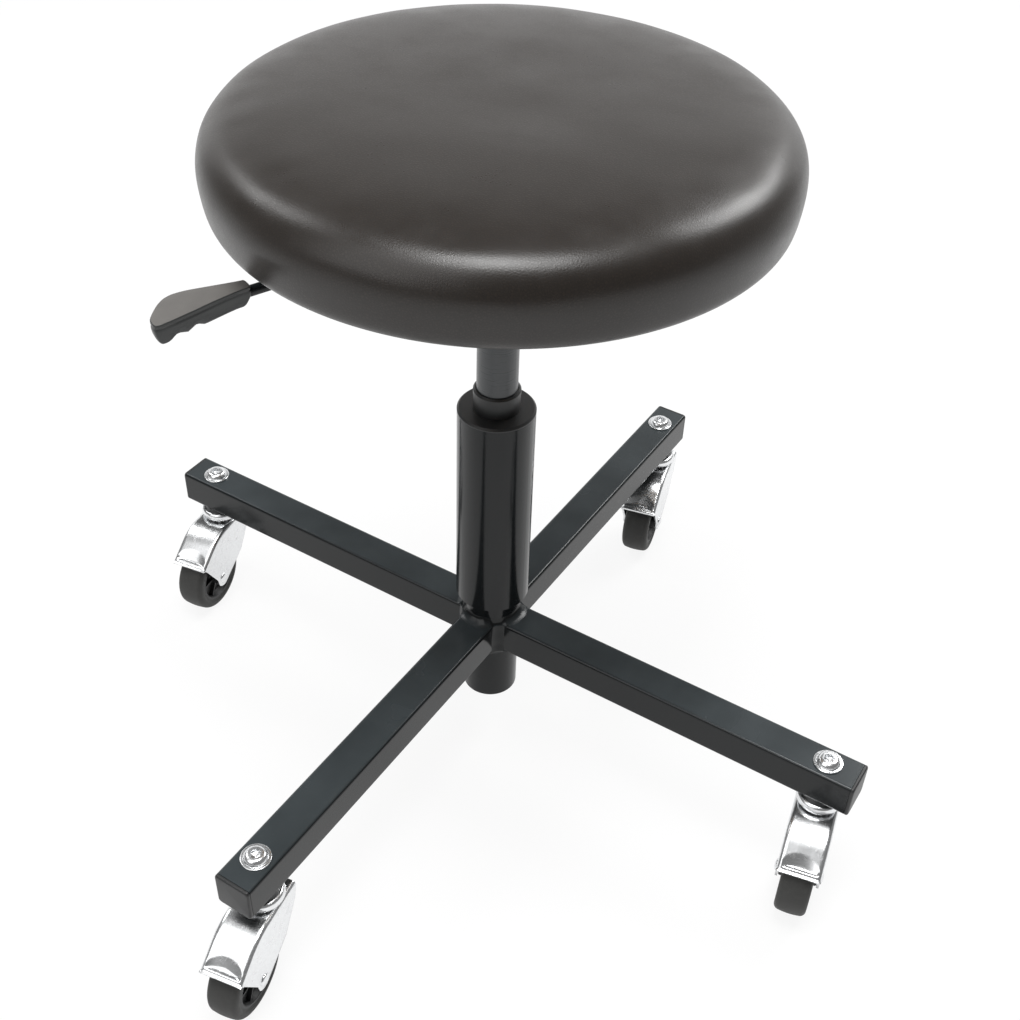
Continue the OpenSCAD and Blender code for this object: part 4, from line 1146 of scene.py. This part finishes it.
# Heading and height of each softbox in degrees, its distance and sides in metres, and its watts
SOFTBOXES = {
    "key": (-58.0, 83.0, 2.0, (0.9, 0.9), 34.0),
    "back_wall": (122.0, 14.0, 2.5, (6.0, 1.5), 25.0),
    "front_left": (-106.0, 43.0, 2.2, (1.6, 2.2), 17.0),
    "left_rim": (180.0, 42.0, 2.4, (0.8, 0.8), 11.0),
    "right_rim": (72.0, 40.0, 2.4, (0.9, 0.9), 26.0),
}


def tree_of(block):
    """The emptied node tree of a material or world."""
    block.use_nodes = True
    block.node_tree.nodes.clear()
    return Wire(block.node_tree)


def make_floor():
    """A matt floor that is seen, and mirrored, as nearly white."""
    bm = bmesh.new()
    bmesh.ops.create_grid(bm, x_segments=1, y_segments=1, size=12.0)
    floor = mesh_object("floor", bm)
    material = bpy.data.materials.new("pale_floor")
    wire = tree_of(material)
    matt = wire.node("ShaderNodeBsdfDiffuse", None, {"Color": (0.86, 0.86, 0.86, 1.0)})
    white = wire.node("ShaderNodeEmission", None, {"Color": (1.0, 1.0, 1.0, 1.0), "Strength": 1.01})
    seen, glossy = [wire.node("ShaderNodeLightPath", output=name) for name in ("Is Camera Ray", "Is Glossy Ray")]
    mixed = wire.node("ShaderNodeMixShader", None, {0: seen * 0.88 + glossy * 0.6, 1: matt, 2: white})
    wire.node("ShaderNodeOutputMaterial", None, {"Surface": mixed})
    floor.data.materials.append(material)


def make_world(scene):
    """A dim world that is seen as white."""
    scene.world = bpy.data.worlds.new("studio")
    wire = tree_of(scene.world)
    strength = 0.2 + wire.node("ShaderNodeLightPath", output="Is Camera Ray") * 0.8
    sky = wire.node("ShaderNodeBackground", None, {"Color": (1.0, 1.0, 1.0, 1.0), "Strength": strength})
    wire.node("ShaderNodeOutputWorld", None, {"Surface": sky})


def make_softbox(scene, name, heading, height, distance, size, watts):
    """A lamp that faces the seat."""
    light = bpy.data.lights.new(name, "AREA")
    light.shape = "RECTANGLE"
    light.size, light.size_y = size
    light.energy = watts
    lamp = bpy.data.objects.new(name, light)
    heading, height = math.radians(heading), math.radians(height)
    away = Vector((math.cos(heading) * math.cos(height), math.sin(heading) * math.cos(height), math.sin(height)))
    lamp.location = LIT_PLACE + away * distance
    lamp.rotation_euler = (-away).to_track_quat("-Z", "Y").to_euler()
    lamp.visible_camera = False
    scene.collection.objects.link(lamp)


def make_camera(scene):
    """A camera at the photograph's place, with its small roll."""
    lens = bpy.data.cameras.new("camera")
    lens.lens = CAMERA_LENS
    lens.sensor_width = CAMERA_SENSOR
    level = math.cos(CAMERA_PITCH)
    ahead = Vector((math.cos(CAMERA_HEADING) * level, math.sin(CAMERA_HEADING) * level,
                    math.sin(CAMERA_PITCH)))
    right = Vector((math.sin(CAMERA_HEADING), -math.cos(CAMERA_HEADING), 0.0))
    up = right.cross(ahead)
    tilted_right = right * math.cos(CAMERA_ROLL) + up * math.sin(CAMERA_ROLL)
    tilted_up = up * math.cos(CAMERA_ROLL) - right * math.sin(CAMERA_ROLL)
    turned = Matrix((tilted_right, tilted_up, -ahead)).transposed().to_4x4()
    camera = bpy.data.objects.new("camera", lens)
    camera.matrix_world = Matrix.Translation(CAMERA_PLACE) @ turned
    scene.collection.objects.link(camera)
    scene.camera = camera


class SEAT_OT_stage(Operator):
    """Sets the floor, the world, the lamps and the camera"""
    bl_idname = "seat.stage"
    bl_label = "Stage"

    def execute(self, context):
        scene = context.scene
        make_floor()
        make_world(scene)
        for name, values in SOFTBOXES.items():
            make_softbox(scene, name, *values)
        make_camera(scene)
        scene.view_settings.view_transform = "Standard"
        return {"FINISHED"}


OPERATORS = [SEAT_OT_stage, SEAT_OT_materials, SEAT_OT_cushion, SEAT_OT_paddle, SEAT_OT_hoods, SEAT_OT_wheels,
             SEAT_OT_fasteners, SEAT_OT_welds]
GROUPS = {"cushion_sizes": CushionSizes, "caster_sizes": CasterSizes, "steel_sizes": SteelSizes,
          "lever_sizes": LeverSizes, "finishes": Finishes}


class SEAT_PT_panel(Panel):
    """Lists the seat's operators and sizes in the 3D view's sidebar"""
    bl_idname = "SEAT_PT_panel"
    bl_label = "Creeper Seat"
    bl_space_type = "VIEW_3D"
    bl_region_type = "UI"
    bl_category = "Creeper Seat"

    def draw(self, context):
        for operator in OPERATORS:
            self.layout.operator(operator.bl_idname)
        for name, group in GROUPS.items():
            box = self.layout.box()
            box.label(text=group.__doc__)
            for key in group.__annotations__:
                box.prop(getattr(context.scene, name), key)


def register():
    for name, group in GROUPS.items():
        bpy.utils.register_class(group)
        setattr(bpy.types.Scene, name, PointerProperty(type=group))
    for made in [*OPERATORS, SEAT_PT_panel]:
        bpy.utils.register_class(made)


def unregister():
    for made in [SEAT_PT_panel, *reversed(OPERATORS)]:
        bpy.utils.unregister_class(made)
    for name, group in GROUPS.items():
        delattr(bpy.types.Scene, name)
        bpy.utils.unregister_class(group)


def main():
    register()
    for operator in OPERATORS:
        family, name = operator.bl_idname.split(".")
        getattr(getattr(bpy.ops, family), name)()


if __name__ == "__main__":
    main()
